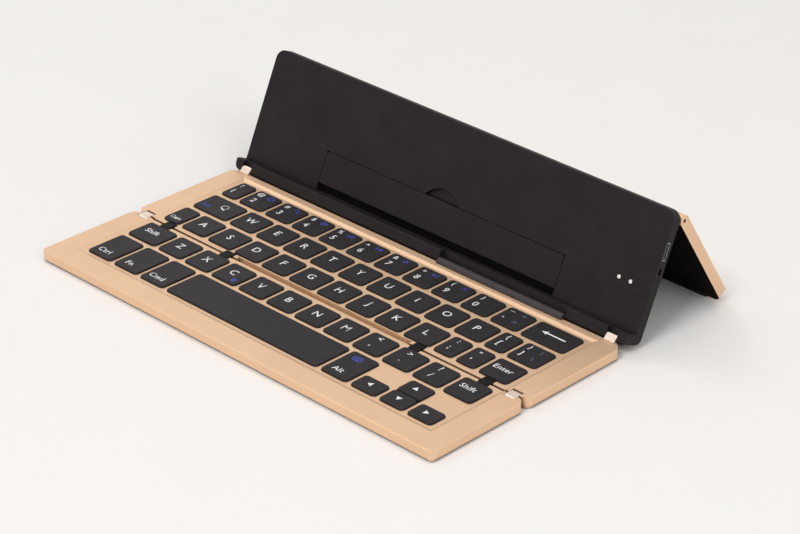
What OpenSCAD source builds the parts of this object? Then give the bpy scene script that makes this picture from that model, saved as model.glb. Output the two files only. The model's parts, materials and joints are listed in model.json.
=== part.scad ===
// Folding keyboard with a hinged stand.
// Two key panels fold together on short two-axis links. A stand panel with a pull-out rest flap
// folds over them, and a rear panel props the stand up from behind.

/* [Overall] */
// Width of every panel, left to right
body_w = 220; // [216:1:232]
// Thickness of each key panel without its feet
panel_t = 4.75; // [4.7:0.05:5.6]
// Wall of the panel shells
shell_wall = 1.4; // [1:0.1:2]
// How far the rubber feet stand proud
foot_h = 0.4; // [0.3:0.1:1]
// Small bevel on the outer top edges
edge_bevel = 0.4; // [0.2:0.1:0.6]
// Round on the outer bottom edges
edge_round = 1.3; // [0.8:0.1:1.6]

/* [Key panels] */
// Distance from the fold line to the back edge of the middle panel
middle_depth = 57; // [56:0.5:62]
// Distance from the fold line to the front edge of the front panel
front_depth = 52; // [51:0.5:58]
// Gap between the two panels at the fold
fold_gap = 1.3; // [1:0.05:1.4]
// Corner radius of the panels at the fold
fold_corner_r = 4; // [2:0.5:5]
// Corner radius of the middle panel at the back
back_corner_r = 5.5; // [3:0.5:7]
// Corner radius of the front panel at the front
front_corner_r = 3; // [2:0.5:6]
// Depth of the key deck below the border
deck_drop = 0.6; // [0.4:0.1:0.8]
// Thickness of the key deck
deck_t = 0.7; // [0.5:0.1:1]
// Width of the sloped step around the deck
deck_slope_w = 1.7; // [1:0.1:2.5]
// Width of the flat border beside the deck
side_border_w = 10; // [9:0.5:11]
// Gold deck left between the keys and the sloped step
deck_margin = 1.9; // [1.5:0.1:2.5]
// Width of the open groove along the fold of the middle panel
groove_w = 1.6; // [1:0.1:1.7]
// Half length of the open groove
groove_half = 48.8; // [40:0.2:49]
// Depth of the open groove below the border
groove_drop = 2.4; // [1.5:0.1:3]

/* [Keys] */
// Width of an ordinary key
key_w = 13.8; // [13.4:0.1:14]
// Front to back size of an ordinary key
key_d = 13.6; // [13:0.1:13.8]
// Gap between neighbouring keys in a row
key_gap = 2.2; // [2:0.1:2.5]
// Gap between rows
row_gap = 2.9; // [2.6:0.1:3]
// Distance from the fold line to the nearest keys
key_to_fold = 3.2; // [3.2:0.05:3.4]
// Front to back size of the space key row
space_d = 19; // [18:0.2:20]
// Gap between the lowest letter row and the space key row
space_row_gap = 2.6; // [2.4:0.1:3]
// Key tops above the border
key_rise = 0.2; // [0:0.05:0.3]
// Thickness of a key cap
cap_t = 1.3; // [1.1:0.1:1.4]
// Corner radius of a key cap
cap_r = 1.6; // [1:0.1:2]
// Step in from a cap's side to its top face
cap_inset = 0.2; // [0.1:0.05:0.3]
// Key travel
key_travel = 1; // [0.8:0.1:1]
// Clearance between a cap and its window
key_clear = 0.25; // [0.2:0.05:0.3]
// Radius of the plunger under a cap
plunger_r = 1.1; // [0.9:0.1:1.2]
// Radius of the rubber dome at its foot
dome_r = 2.6; // [2.2:0.1:3]

/* [Narrow and wide keys] */
// Width of the one key
one_key_w = 8.6; // [8:0.1:10]
// Width of the left bracket key
bracket_key_w = 9.6; // [9:0.1:11]
// Width of the right bracket key
slash_key_w = 14.45; // [13:0.05:15]
// Width of the caps key
caps_key_w = 8.9; // [8:0.1:10]
// Width of the semicolon and quote keys
punct_key_w = 9.55; // [9:0.05:10.5]
// Width of the right shift key
right_shift_w = 14.1; // [13:0.1:15]
// Width of the control, function and command keys
modifier_key_w = 13.75; // [13:0.05:14]
// Width of the left arrow key
left_arrow_w = 12.7; // [12:0.1:13]
// Width of the other arrow keys
arrow_key_w = 12.2; // [12:0.1:13]
// Gap between the up and down arrow keys
arrow_split = 0.6; // [0.6:0.1:1]

/* [Fold links] */
// Distance between the two axes of a link
link_axis_gap = 3.4; // [3.3:0.05:3.6]
// Depth of the link axes below the border
link_axis_drop = 1.3; // [1.3:0.05:1.35]
// Half thickness of a link
link_r = 1.25; // [1.1:0.05:1.25]
// Width of a link
link_w = 4.8; // [4:0.2:5]
// Clearance around a link in its notch
link_clear = 0.2; // [0.15:0.05:0.25]
// Distance of the end links from the panels' side edges
end_link_inset = 6.7; // [6:0.1:7.5]
// Distance of the outer black links from the panels' side edges
outer_link_inset = 20.4; // [20:0.1:21]
// Distance of the inner black links from the middle
inner_link_x = 53.6; // [53:0.1:54]
// Radius of the fold pins
fold_pin_r = 0.45; // [0.35:0.05:0.5]
// Radial clearance of the fold pins in the links
pin_clear = 0.04; // [0.02:0.01:0.08]
// Length of pin held in the panel on each side of a link
pin_seat = 2; // [1.5:0.1:2.2]

/* [Stand] */
// Angle between the stand and the table
stand_lean = 66.5; // [64:0.5:70]
// Height of the stand panel along its slope, above the border line
stand_l = 53.2; // [52:0.2:56]
// How far the stand reaches below the border line
stand_tail = 2.8; // [2.5:0.1:3]
// Thickness of the stand panel
stand_t = 4.6; // [4.6:0.1:5.4]
// Corner radius at the top of the stand
stand_corner_r = 4.5; // [2:0.5:6]
// Distance from the middle panel's back edge to the stand face
stand_set_back = 6.2; // [6.1:0.05:6.5]
// Depth of the riser bar in front of the stand face
riser_n = 5.8; // [5.5:0.1:5.9]
// Height of the riser bar along the stand face
riser_l = 2.5; // [2:0.1:2.5]
// Round on the riser's lower front edge
riser_round = 1.5; // [1.3:0.1:1.6]
// Place of the stand pivot along the face
pivot_l = -0.6; // [-0.7:0.05:-0.5]
// Space between the folded stand and the folded front panel
closed_clear = 0.25; // [0.2:0.05:0.4]
// Thickness of the stand's back cover
back_cover_t = 1; // [0.8:0.1:1.2]
// Thickness of the stand's front wall
face_wall = 1; // [0.8:0.1:1.2]
// Radius of the stand's lower corners
stand_foot_r = 3.5; // [2:0.5:4]
// Round on the stand's lower back edge
tail_round = 1.2; // [1:0.1:1.6]
// Width of the fine seam at the right end of the face
seam_w = 22; // [18:1:26]
// Height of the fine seam along the face
seam_l = 17; // [15:0.5:18]
// Width of the fine seam's groove
seam_t = 0.2; // [0.15:0.05:0.3]

/* [Stand hinge] */
// Distance of the hinge tabs from the side edges
tab_inset = 7; // [6.5:0.1:7.5]
// Width of a hinge tab
tab_w = 5; // [4.5:0.1:5.4]
// Radius of the tab's barrel
tab_r = 1; // [0.95:0.05:1.1]
// How far a tab reaches forward over the frame's border
tab_toe = 1.1; // [0.8:0.1:1.4]
// Thickness of a tab's front edge
tab_toe_t = 0.4; // [0.3:0.05:0.5]
// Thickness of a tab's arm behind the frame
tab_arm_t = 1.2; // [1:0.1:1.3]
// Clearance between a tab and the stand
tab_clear = 0.35; // [0.3:0.05:0.4]
// Radius of the stand hinge pins
hinge_pin_r = 0.5; // [0.4:0.05:0.55]
// Length of pin held on each side of a tab
hinge_pin_seat = 3; // [2:0.1:3.4]
// Left end of the cable guard
guard_x0 = 12; // [8:1:20]
// Right end of the cable guard
guard_x1 = 79; // [70:1:82]
// Radius of the cable guard
guard_r = 2; // [1.6:0.05:2.1]
// How far the cable guard's middle line stands behind the frame
guard_out = 0.3; // [0.2:0.05:0.4]
// Thickness of the cable guard's lip behind the frame
guard_lip = 0.4; // [0.3:0.05:0.6]
// Play at each end of the cable guard's notch
guard_play = 0.6; // [0.4:0.1:1]
// Play at each side of a hinge tab
tab_play = 0.3; // [0.2:0.05:0.4]

/* [Rest flap] */
// Width of the rest flap
flap_w = 133; // [120:1:134]
// Lower edge of the flap above the border line
flap_l0 = 5.7; // [5.6:0.1:6.2]
// Height of the flap
flap_h = 14.3; // [13:0.1:14.5]
// Thickness of the flap
flap_t = 1.5; // [1.4:0.1:1.6]
// Clearance between the flap and its recess
flap_clear = 0.25; // [0.2:0.05:0.3]
// Start of the open slot below the flap
slot_l0 = 2.7; // [2.6:0.1:3]
// Radius of the finger scoop above the flap
scoop_r = 11.8; // [10:0.2:14]
// Top of the finger scoop
scoop_top = 25; // [23:0.2:25.5]
// Radius of the flap pins
flap_pin_r = 0.4; // [0.3:0.05:0.45]
// Length of pin held in the flap
flap_pin_seat = 3; // [2:0.1:4]
// Radius of the flap's upper corners
flap_corner_r = 1.2; // [0.8:0.1:2]

/* [Electronics] */
// Height of the cavity's lower edge above the flap
cavity_l0 = 26.5; // [26:0.1:28]
// Width of the battery
battery_w = 110; // [80:1:130]
// Thickness of the battery
battery_t = 2.2; // [1.5:0.1:2.5]
// Distance of the battery from the left side edge
battery_inset = 30; // [20:1:40]
// Clearance below the battery
battery_room = 1.5; // [1:0.1:2]
// Room above the battery for its wires
wire_room = 2.8; // [2:0.1:4]
// Width of the main board
board_w = 26; // [20:1:28]
// Thickness of the main board
board_t = 0.5; // [0.4:0.1:0.8]
// Lower edge of the main board along the face
board_l0 = 5; // [4:0.5:8]
// Clearance above the main board
board_room = 1.8; // [1:0.1:3]
// Clearance between the main board and the cavity
board_gap = 0.4; // [0.3:0.05:0.6]
// Radius of the indicator lights
light_r = 0.8; // [0.5:0.1:1]
// Height of the indicator lights along the face
light_l = 21; // [19:0.5:24]
// Distance of the outer indicator light from the side edge
light_inset = 10.2; // [8:0.1:12]
// Distance between the indicator lights
light_pitch = 5.8; // [4:0.1:7]
// Length of the charging port
port_l = 7.6; // [7:0.1:8.5]
// Distance from the stand's top edge down to the charging port's lower end
port_drop = 20.2; // [19:0.1:21]
// Depth of the charging port
port_depth = 5.5; // [4:0.1:7]
// Wall of the charging port
port_wall = 0.35; // [0.3:0.05:0.5]
// Length of the power switch knob
knob_l = 3.6; // [3:0.1:4]
// Travel of the power switch
switch_travel = 2.5; // [1.5:0.1:3]
// Distance from the charging port's lower end down to the switch slot's lower end
switch_drop = 9.4; // [9:0.1:10]
// Thickness of the power switch knob
switch_t = 1.5; // [1.2:0.1:1.6]
// How far the knob's flange reaches past the knob
flange_reach = 0.8; // [0.6:0.1:1]
// Thickness of the knob's flange
flange_t = 1.1; // [0.8:0.1:1.4]

/* [Rear panel] */
// Angle between the rear panel and the table
rear_slope = 56; // [55:0.5:60]
// Thickness of the rear panel
rear_t = 4.8; // [4.2:0.1:5.2]
// Gap between the folded rear panel and the stand
rear_clear = 0.6; // [0.4:0.1:1]
// Distance of the rear pins below the stand's top edge
rear_pin_drop = 3.2; // [2.4:0.1:3.6]
// Radius of the rear hinge pins
rear_pin_r = 0.8; // [0.6:0.05:1]
// Depth of the rear pins' ends inside their bores
rear_pin_sunk = 1.2; // [0.5:0.1:2]
// Skin of the rear panel
rear_skin = 1.2; // [1:0.1:1.5]
// Thickness of the black liner inside the rear panel
liner_t = 1; // [0.8:0.1:1.2]
// Gold rim left round the liner
liner_rim = 0.5; // [0.4:0.05:0.7]
// Place of the rear knuckles from the side edges
knuckle_inset = 10; // [9:0.5:12]
// Width of the rear knuckles
knuckle_w = 8; // [6:0.5:8]
// Radius of the rear knuckles
knuckle_r = 2; // [1.8:0.1:2]
// Width of the rubber strip under the rear panel
rear_foot_w = 2.6; // [2:0.1:2.8]
// Height of the rear panel's lower edge over the table
rear_foot_h = 1; // [0.7:0.1:1.4]
// Distance of the rubber strip's ends from the side edges
rear_foot_inset = 8; // [4:0.5:12]
// Solid lip between the rear pins and the rear panel's hollow
rear_lip = 4.5; // [4:0.1:6]
// Radius of the rear panel's lower corners
rear_corner_r = 4; // [2:0.5:4.5]
// Solid wall at the rear panel's lower end
rear_end_wall = 2; // [1.5:0.1:3]
// Bevel on the rear panel's lower edge
rear_end_bevel = 0.5; // [0.3:0.1:0.8]
// Play at each side of a rear knuckle
knuckle_gap = 0.3; // [0.2:0.05:0.4]

/* [Fasteners and feet] */
// Radius of a round foot
foot_r = 3.5; // [2.5:0.1:4]
// Depth of a foot's seat
foot_seat = 0.3; // [0.2:0.05:0.4]
// Radius of a screw head
screw_head_r = 1.4; // [1.2:0.1:1.5]
// Height of a screw head
screw_head_h = 0.5; // [0.4:0.05:0.5]
// Radius of a screw
screw_r = 0.7; // [0.5:0.05:0.8]
// Radius of a screw boss
boss_r = 2; // [1.8:0.1:2.2]
// Thickness of the base plates
base_t = 0.9; // [0.8:0.05:1]
// Distance of the screws from the side edges
screw_inset = 5.5; // [5:0.1:6.5]
// Distance of the feet from the side edges
foot_inset = 14; // [10:0.5:20]
// Distance of the near screws and feet from the fold line
near_row_v = 12; // [10:0.5:14]
// Distance of the far screws and feet from the panel's outer edge
far_row_drop = 8; // [7:0.5:10]
// Height of the stand's lower screws along the face
stand_screw_l = 15; // [12:0.5:18]
// Distance of the stand's upper screws from its top edge
stand_screw_drop = 8.2; // [7:0.1:10]
// Depth of a stand screw past the back cover
stand_screw_bite = 1.4; // [1:0.1:1.5]

/* [Hidden] */

$fn = 48;
eps = 0.01;          // overshoot of a cut past the face it opens
seat_gap = 0.05;     // play of a plate in its seat
gold = [0.87, 0.72, 0.57];
black = [0.15, 0.14, 0.15];
key_black = [0.21, 0.2, 0.21];
ivory = [0.86, 0.78, 0.72];
steel = [0.75, 0.75, 0.77];

// Heights, from the border plane at zero
table_z = -(panel_t + foot_h);
deck_z = -deck_drop;
deck_under_z = deck_z - deck_t;
base_top_z = -panel_t + base_t;
key_board_t = 0.4;
sheet_t = 0.25;
sheet_top_z = base_top_z + key_board_t + sheet_t;
cap_top_z = key_rise;
cap_under_z = cap_top_z - cap_t;
cap_step_extra = 0.1;    // how much higher than wide a cap's top step is
press_room = 0.15;       // left under a pressed key
dome_room = 0.1;         // between a dome and its plunger
plunger_end_z = sheet_top_z + key_travel + press_room;
dome_top_z = plunger_end_z - dome_room;
dome_bore_clear = 0.25;
dome_wall = 0.45;
dome_bore_r = plunger_r + dome_bore_clear;
dome_top_r = dome_bore_r + dome_wall;

// Plan of a key panel, measured away from the fold line
half_w = body_w / 2;
fold_edge = fold_gap / 2;
link_axis_v = link_axis_gap / 2;
fold_rise = link_axis_gap - 2 * link_axis_drop;
fold_bevel = 0.25;
rib_v = 2.9;
rib_foot_v = 5;
rib_foot_z = -3.2;
deck_half = half_w - side_border_w - deck_slope_w;
field_w = 2 * (deck_half - deck_margin);
middle_deck_v = key_to_fold + 3 * key_d + 2 * row_gap + deck_margin;
front_margin_cut = 0.3;
front_deck_v = key_to_fold + key_d + space_row_gap + space_d + deck_margin - front_margin_cut;
pocket_corner_r = 1.5;
screw_tip_skin = 0.4;
screw_tip_z = deck_under_z - screw_tip_skin;
screw_tip_room = 0.1;
link_xs = [inner_link_x, half_w - outer_link_inset, half_w - end_link_inset];
link_bore_r = fold_pin_r + pin_clear;

// Rows: distance of each row's centre from the fold line, and the key widths from the left.
// A row holds as many ordinary keys as fit, and its widest key takes what is left over
function total(list, upto) = upto <= 0 ? 0 : list[upto - 1] + total(list, upto - 1);
function run(width, count) = [for (i = [1 : count]) width];
function left_over(others) = field_w - total(others, len(others)) - len(others) * key_gap;
function ordinary_keys(others) = floor((left_over(others) - key_w) / (key_w + key_gap));
function row_left(widths, i) = -field_w / 2 + total(widths, i) + i * key_gap;
home_v = key_to_fold + key_d / 2;
top_v = home_v + key_d + row_gap;
digit_v = top_v + key_d + row_gap;
lower_v = home_v;
space_v = key_to_fold + key_d + space_row_gap + space_d / 2;
digit_count = ordinary_keys([one_key_w]);
digit_head = concat([one_key_w], run(key_w, digit_count));
digit_row = concat(digit_head, [left_over(digit_head)]);
top_count = ordinary_keys([bracket_key_w, slash_key_w]);
top_tail = concat(run(key_w, top_count), [bracket_key_w, slash_key_w]);
top_row = concat([left_over(top_tail)], top_tail);
home_count = ordinary_keys([caps_key_w, punct_key_w, punct_key_w]);
home_head = concat([caps_key_w], run(key_w, home_count), run(punct_key_w, 2));
home_row = concat(home_head, [left_over(home_head)]);
lower_count = ordinary_keys([right_shift_w]);
lower_tail = concat(run(key_w, lower_count), [right_shift_w]);
lower_row = concat([left_over(lower_tail)], lower_tail);
space_head = run(modifier_key_w, 3);
space_tail = [key_w, left_arrow_w, arrow_key_w, arrow_key_w];
space_row = concat(space_head, [left_over(concat(space_head, space_tail))], space_tail);
arrow_d = (space_d - arrow_split) / 2;
arrow_far_v = space_v + (arrow_d + arrow_split) / 2;
arrow_near_v = space_v - (arrow_d + arrow_split) / 2;
space_plunger_pitch = 28;

// Every key as [left edge, width, centre from the fold, front to back size]
function keys_of(widths, v, d, first, last) =
    [for (i = [first : last]) [row_left(widths, i), widths[i], v, d]];
middle_keys = concat(keys_of(digit_row, digit_v, key_d, 0, digit_count + 1),
                     keys_of(top_row, top_v, key_d, 0, top_count + 2),
                     keys_of(home_row, home_v, key_d, 0, home_count + 3));
front_keys = concat(keys_of(lower_row, lower_v, key_d, 0, lower_count + 1),
                    keys_of(space_row, space_v, space_d, 0, 4),
                    keys_of(space_row, arrow_far_v, arrow_d, 5, 7),
                    keys_of(space_row, arrow_near_v, arrow_d, 6, 6));
// One long window serves the up and down arrow keys
front_windows = concat(keys_of(lower_row, lower_v, key_d, 0, lower_count + 1),
                       keys_of(space_row, space_v, space_d, 0, 4),
                       keys_of(space_row, arrow_far_v, arrow_d, 5, 5),
                       keys_of(space_row, space_v, space_d, 6, 6),
                       keys_of(space_row, arrow_far_v, arrow_d, 7, 7));

// The stand, in its own frame: x across, l up the face, n out of the face
stand_y0 = middle_depth + stand_set_back;
closed_h = fold_rise + panel_t + foot_h + closed_clear;
pivot_z = (pivot_l * sin(stand_lean) + closed_h * cos(stand_lean)) / (1 + cos(stand_lean));
pivot_n = closed_h - pivot_z;
function stand_y(l, n) = stand_y0 + l * cos(stand_lean) - n * sin(stand_lean);
function stand_z(l, n) = l * sin(stand_lean) + n * cos(stand_lean);
pivot_y = stand_y(pivot_l, pivot_n);
tab_x = half_w - tab_inset;
tab_notch_w = tab_w + 2 * tab_play;
tab_notch_n = pivot_n - tab_r - tab_clear;
tab_tongue = 1;
tab_arm_z0 = -2.2;
tab_tongue_z1 = -0.6;
tab_run = pivot_y - middle_depth + tab_toe;
tab_climb = pivot_z - tab_toe_t;
tab_slope = atan2(tab_climb, tab_run) + asin(tab_r / norm([tab_run, tab_climb]));
guard_y = middle_depth + guard_out;
guard_room = 0.9;
guard_back_n = (stand_y0 - guard_y - guard_r) * sin(stand_lean) - guard_lip * cos(stand_lean);
guard_notch_n = min(guard_back_n, closed_h - guard_r) - guard_room;
cavity_n = -face_wall;
cover_n = -stand_t + back_cover_t;
flap_half = flap_w / 2;
flap_top = flap_l0 + flap_h;
flap_pivot_l = flap_l0 + flap_t / 2;
recess_room = 0.15;      // behind the shut flap
recess_n = -flap_t - recess_room;
recess_side = flap_half + flap_clear + seat_gap;
pin_wall = 1.7;
side_cavity_x = recess_side + pin_wall;
pin_end_gap = 0.3;
pin_end_room = 0.2;
cavity_wall = 3;
cavity_top = stand_l - shell_wall;
battery_l0 = cavity_l0 + battery_room;
battery_l1 = cavity_top - wire_room;
board_x1 = half_w - shell_wall - board_gap;
board_l1 = cavity_top - board_room;
port_l0 = stand_l - port_drop;
switch_l0 = port_l0 - switch_drop;
port_n0 = cover_n + board_t;
port_room = 0.1;
port_n1 = cavity_n - port_room;
port_back = 0.5;
face_inset = 0.1;        // the port and the knob end this far inside the side face
light_xs = [half_w - light_inset - light_pitch, half_w - light_inset];
switch_n = (cavity_n + port_n0) / 2;
switch_play = 0.1;
seam_depth = 0.15;

// The rear panel, in its own frame: u down the panel, t out of its gold face
rear_pin_l = stand_l - rear_pin_drop;
rear_pin_n = -(stand_t + rear_clear + rear_t / 2);
rear_pin_y = stand_y(rear_pin_l, rear_pin_n);
rear_pin_z = stand_z(rear_pin_l, rear_pin_n);
rear_end_z = table_z + rear_foot_h;
rear_end_u = (rear_pin_z - rear_end_z - rear_t / 2 * cos(rear_slope)) / sin(rear_slope);
rear_hollow_u = rear_end_u - rear_end_wall;
rear_top_r = 0.6;
rear_foot_set = 0.3;
knuckle_x = half_w - knuckle_inset;
liner_u0 = knuckle_r + knuckle_gap + liner_rim;
liner_u1 = rear_end_u - rear_end_bevel - liner_rim;
function rear_y(u, t) = rear_pin_y + u * cos(rear_slope) + t * sin(rear_slope);
function rear_z(u, t) = rear_pin_z - u * sin(rear_slope) + t * cos(rear_slope);
back_y = rear_y(rear_end_u - rear_end_bevel, rear_t / 2);
middle_y = (back_y - front_depth) / 2;

// ---------- helpers ----------

function arc(cx, cy, r, a0, a1, n = 6) =
    [for (i = [0 : n]) [cx + r * cos(a0 + (a1 - a0) * i / n), cy + r * sin(a0 + (a1 - a0) * i / n)]];

// Rectangle with rounded corners: near pair of corners, then far pair
function round_rect(x0, x1, y0, y1, near_r, far_r, n = 6) =
    concat(arc(x0 + near_r, y0 + near_r, near_r, 180, 270, n),
           arc(x1 - near_r, y0 + near_r, near_r, 270, 360, n),
           arc(x1 - far_r, y1 - far_r, far_r, 0, 90, n),
           arc(x0 + far_r, y1 - far_r, far_r, 90, 180, n));

module slab(x0, x1, y0, y1, z0, z1)
    translate([x0, y0, z0]) cube([x1 - x0, y1 - y0, z1 - z0]);

module plate(points, z0, z1)
    translate([0, 0, z0]) linear_extrude(z1 - z0) polygon(points);

// Outline in y and z, drawn out along x
module along_x(points, x0, x1)
    translate([x0, 0, 0]) rotate([90, 0, 90]) linear_extrude(x1 - x0) polygon(points);

// Outline in x and z, drawn out along y
module along_y(points, y0, y1)
    translate([0, y1, 0]) rotate([90, 0, 0]) linear_extrude(y1 - y0) polygon(points);

module rod_x(r, x0, x1, y, z)
    translate([x0, y, z]) rotate([0, 90, 0]) cylinder(r = r, h = x1 - x0);

module both_sides() {
    children();
    mirror([1, 0, 0]) children();
}

// Puts the border plane at its height over the table, and the object over the origin
module on_table() translate([0, -middle_y, -table_z]) children();
// The front panel is drawn as the middle one is, then turned over to the front of the fold
module on_front() on_table() mirror([0, 1, 0]) children();
module on_stand() on_table() translate([0, stand_y0, 0]) rotate([stand_lean, 0, 0]) children();
module on_rear()
    on_table() translate([0, rear_pin_y, rear_pin_z]) rotate([-rear_slope, 0, 0]) children();

// ---------- key panels ----------

module panel_blank(depth, far_r) {
    edge = edge_bevel;
    far_round = arc(depth - edge_round, -panel_t + edge_round, edge_round, 270, 360, 4);
    side_round = arc(half_w - edge_round, -panel_t + edge_round, edge_round, 270, 360, 4);
    other_side = arc(-half_w + edge_round, -panel_t + edge_round, edge_round, 180, 270, 4);
    intersection() {
        plate(round_rect(-half_w, half_w, fold_edge, depth, fold_corner_r, far_r), -panel_t, 0);
        along_y(concat(other_side, side_round, [[half_w, -edge], [half_w - edge, 0],
                [-half_w + edge, 0], [-half_w, -edge]]), 0, depth + 1);
        along_x(concat([[fold_edge, -panel_t]], far_round, [[depth, -edge], [depth - edge, 0],
                [fold_edge + fold_bevel, 0], [fold_edge, -fold_bevel]]), -half_w - 1, half_w + 1);
    }
}

// The sunk key deck with its sloped step on three sides
module deck_cut(deck_v) {
    top = 1;
    rise = deck_slope_w * (top - deck_z) / deck_drop;
    intersection() {
        along_y([[-deck_half, deck_z], [deck_half, deck_z],
                 [deck_half + rise, top], [-deck_half - rise, top]], -1, deck_v + rise);
        along_x([[-1, deck_z], [deck_v, deck_z], [deck_v + rise, top], [-1, top]],
                -half_w, half_w);
    }
}

module screw_places(depth)
    for (x = [-1, 1] * (half_w - screw_inset), v = [near_row_v, depth - far_row_drop])
        translate([x, v, 0]) children();

module foot_places(depth)
    for (x = [-1, 1] * (half_w - foot_inset), v = [near_row_v, depth - far_row_drop])
        translate([x, v, 0]) children();

module pocket(depth, far_r) {
    inner = half_w - shell_wall;
    difference() {
        plate(round_rect(-inner, inner, rib_foot_v, depth - shell_wall, pocket_corner_r,
                         far_r - shell_wall), -panel_t - eps, deck_under_z);
        translate([0, 0, base_top_z]) screw_places(depth) cylinder(r = boss_r, h = panel_t);
    }
    slab(-deck_half, deck_half, rib_v, rib_foot_v + eps, rib_foot_z, deck_under_z);
}

module link_notch(x) {
    w = link_w + 2 * link_clear;
    r = link_r + link_clear;
    translate([x - w / 2, 0, 0]) {
        slab(0, w, -1, link_axis_v, -link_axis_drop - r, 1);
        slab(0, w, -1, link_axis_v + r, -link_axis_drop, 1);
        rod_x(r, 0, w, link_axis_v, -link_axis_drop);
    }
}

module fold_pin_at(x, r)
    rod_x(r, x - link_w / 2 - link_clear - pin_seat, x + link_w / 2 + link_clear + pin_seat,
          link_axis_v, -link_axis_drop);

module key_outline(k, grow)
    polygon(round_rect(k[0] - grow, k[0] + k[1] + grow, k[2] - k[3] / 2 - grow,
                       k[2] + k[3] / 2 + grow, cap_r + grow, cap_r + grow, 4));

module panel_shell(depth, far_r, deck_v, windows)
    difference() {
        panel_blank(depth, far_r);
        deck_cut(deck_v);
        pocket(depth, far_r);
        for (k = windows)
            translate([0, 0, deck_under_z - eps]) linear_extrude(deck_t + 2 * eps)
                key_outline(k, key_clear);
        for (side = [-1, 1], x = link_xs) {
            link_notch(side * x);
            fold_pin_at(side * x, fold_pin_r);
        }
        translate([0, 0, base_top_z - eps]) screw_places(depth)
            cylinder(r = screw_r, h = screw_tip_z + screw_tip_room - base_top_z);
    }

module panel_base(depth, far_r) {
    inner = half_w - shell_wall - seat_gap;
    difference() {
        plate(round_rect(-inner, inner, rib_foot_v + seat_gap, depth - shell_wall - seat_gap,
                         pocket_corner_r, far_r - shell_wall), -panel_t, base_top_z);
        screw_places(depth) translate([0, 0, -panel_t - eps]) {
            cylinder(r = screw_head_r + seat_gap, h = screw_head_h + eps);
            cylinder(r = screw_r + seat_gap, h = base_t + 2 * eps);
        }
        foot_places(depth) translate([0, 0, -panel_t - eps])
            cylinder(r = foot_r, h = foot_seat + eps);
    }
}

module base_screws(depth)
    screw_places(depth) {
        translate([0, 0, -panel_t]) cylinder(r = screw_head_r, h = screw_head_h);
        translate([0, 0, -panel_t + screw_head_h - eps])
            cylinder(r = screw_r, h = screw_tip_z + panel_t - screw_head_h + eps);
    }

module base_feet(depth)
    foot_places(depth) translate([0, 0, table_z]) cylinder(r = foot_r, h = foot_h + foot_seat);

module key_board(deck_v)
    slab(-deck_half, deck_half, rib_foot_v + 2 * seat_gap, deck_v, base_top_z,
         base_top_z + key_board_t);

function plungers(k) = k[1] > 4 * key_w ? [-1, 0, 1] * space_plunger_pitch : [0];

module dome_sheet(deck_v, keys)
    difference() {
        union() {
            slab(-deck_half, deck_half, rib_foot_v + 2 * seat_gap, deck_v,
                 base_top_z + key_board_t, sheet_top_z);
            for (k = keys, dx = plungers(k))
                translate([k[0] + k[1] / 2 + dx, k[2], sheet_top_z - eps])
                    cylinder(r1 = dome_r, r2 = dome_top_r, h = dome_top_z - sheet_top_z + eps);
        }
        for (k = keys, dx = plungers(k))
            translate([k[0] + k[1] / 2 + dx, k[2], sheet_top_z - sheet_t / 2])
                cylinder(r = dome_bore_r, h = dome_top_z - sheet_top_z + sheet_t);
    }

module key_cap(k) color(key_black) {
    step = cap_inset + cap_step_extra;
    translate([0, 0, cap_under_z]) linear_extrude(cap_t - step) key_outline(k, 0);
    translate([0, 0, cap_top_z - step - eps]) linear_extrude(step + eps)
        key_outline(k, -cap_inset);
    for (dx = plungers(k))
        translate([k[0] + k[1] / 2 + dx, k[2], plunger_end_z])
            cylinder(r = plunger_r, h = cap_under_z - plunger_end_z + eps);
}

module middle_run(widths, v, first, last)
    on_table() for (k = keys_of(widths, v, key_d, first, last)) key_cap(k);

module front_run(widths, v, d, first, last)
    on_front() for (k = keys_of(widths, v, d, first, last)) key_cap(k);

// ---------- middle panel ----------

module tab_tongue_seat(grow)
    both_sides() slab(tab_x - tab_w / 2 - grow, tab_x + tab_w / 2 + grow,
                      middle_depth - tab_tongue, middle_depth + eps,
                      tab_arm_z0 - grow, tab_tongue_z1 + grow);

module middle_frame() color(gold) on_table()
    difference() {
        panel_shell(middle_depth, back_corner_r, middle_deck_v, middle_keys);
        slab(-groove_half, groove_half, 0, fold_edge + groove_w, -groove_drop, 1);
        tab_tongue_seat(0);
    }

module middle_base() color(black) on_table() panel_base(middle_depth, back_corner_r);
module middle_key_board() color(steel) on_table() key_board(middle_deck_v);
module middle_dome_sheet() color("dimgray") on_table() dome_sheet(middle_deck_v, middle_keys);
module middle_feet() color("dimgray") on_table() base_feet(middle_depth);
module middle_screws() color(steel) on_table() base_screws(middle_depth);
module middle_fold_pins() color(steel) on_table()
    for (side = [-1, 1], x = link_xs) fold_pin_at(side * x, fold_pin_r);

// Ivory tabs that carry the stand: a leaf that rises from the border to a barrel on the pivot,
// and an arm with a tongue in the frame's back wall
module hinge_tabs() color(ivory) on_table()
    both_sides() difference() {
        x0 = tab_x - tab_w / 2;
        x1 = tab_x + tab_w / 2;
        toe_y = middle_depth - tab_toe;
        union() {
            rod_x(tab_r, x0, x1, pivot_y, pivot_z);
            along_x([[middle_depth, tab_arm_z0], [middle_depth + tab_arm_t, tab_arm_z0],
                     [pivot_y, pivot_z],
                     [pivot_y - tab_r * sin(tab_slope), pivot_z + tab_r * cos(tab_slope)],
                     [toe_y, tab_toe_t], [toe_y, 0], [middle_depth, 0]], x0, x1);
            slab(x0, x1, middle_depth - tab_tongue, middle_depth + eps, tab_arm_z0, tab_tongue_z1);
        }
        rod_x(hinge_pin_r + pin_clear, x0 - eps, x1 + eps, pivot_y, pivot_z);
    }

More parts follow.
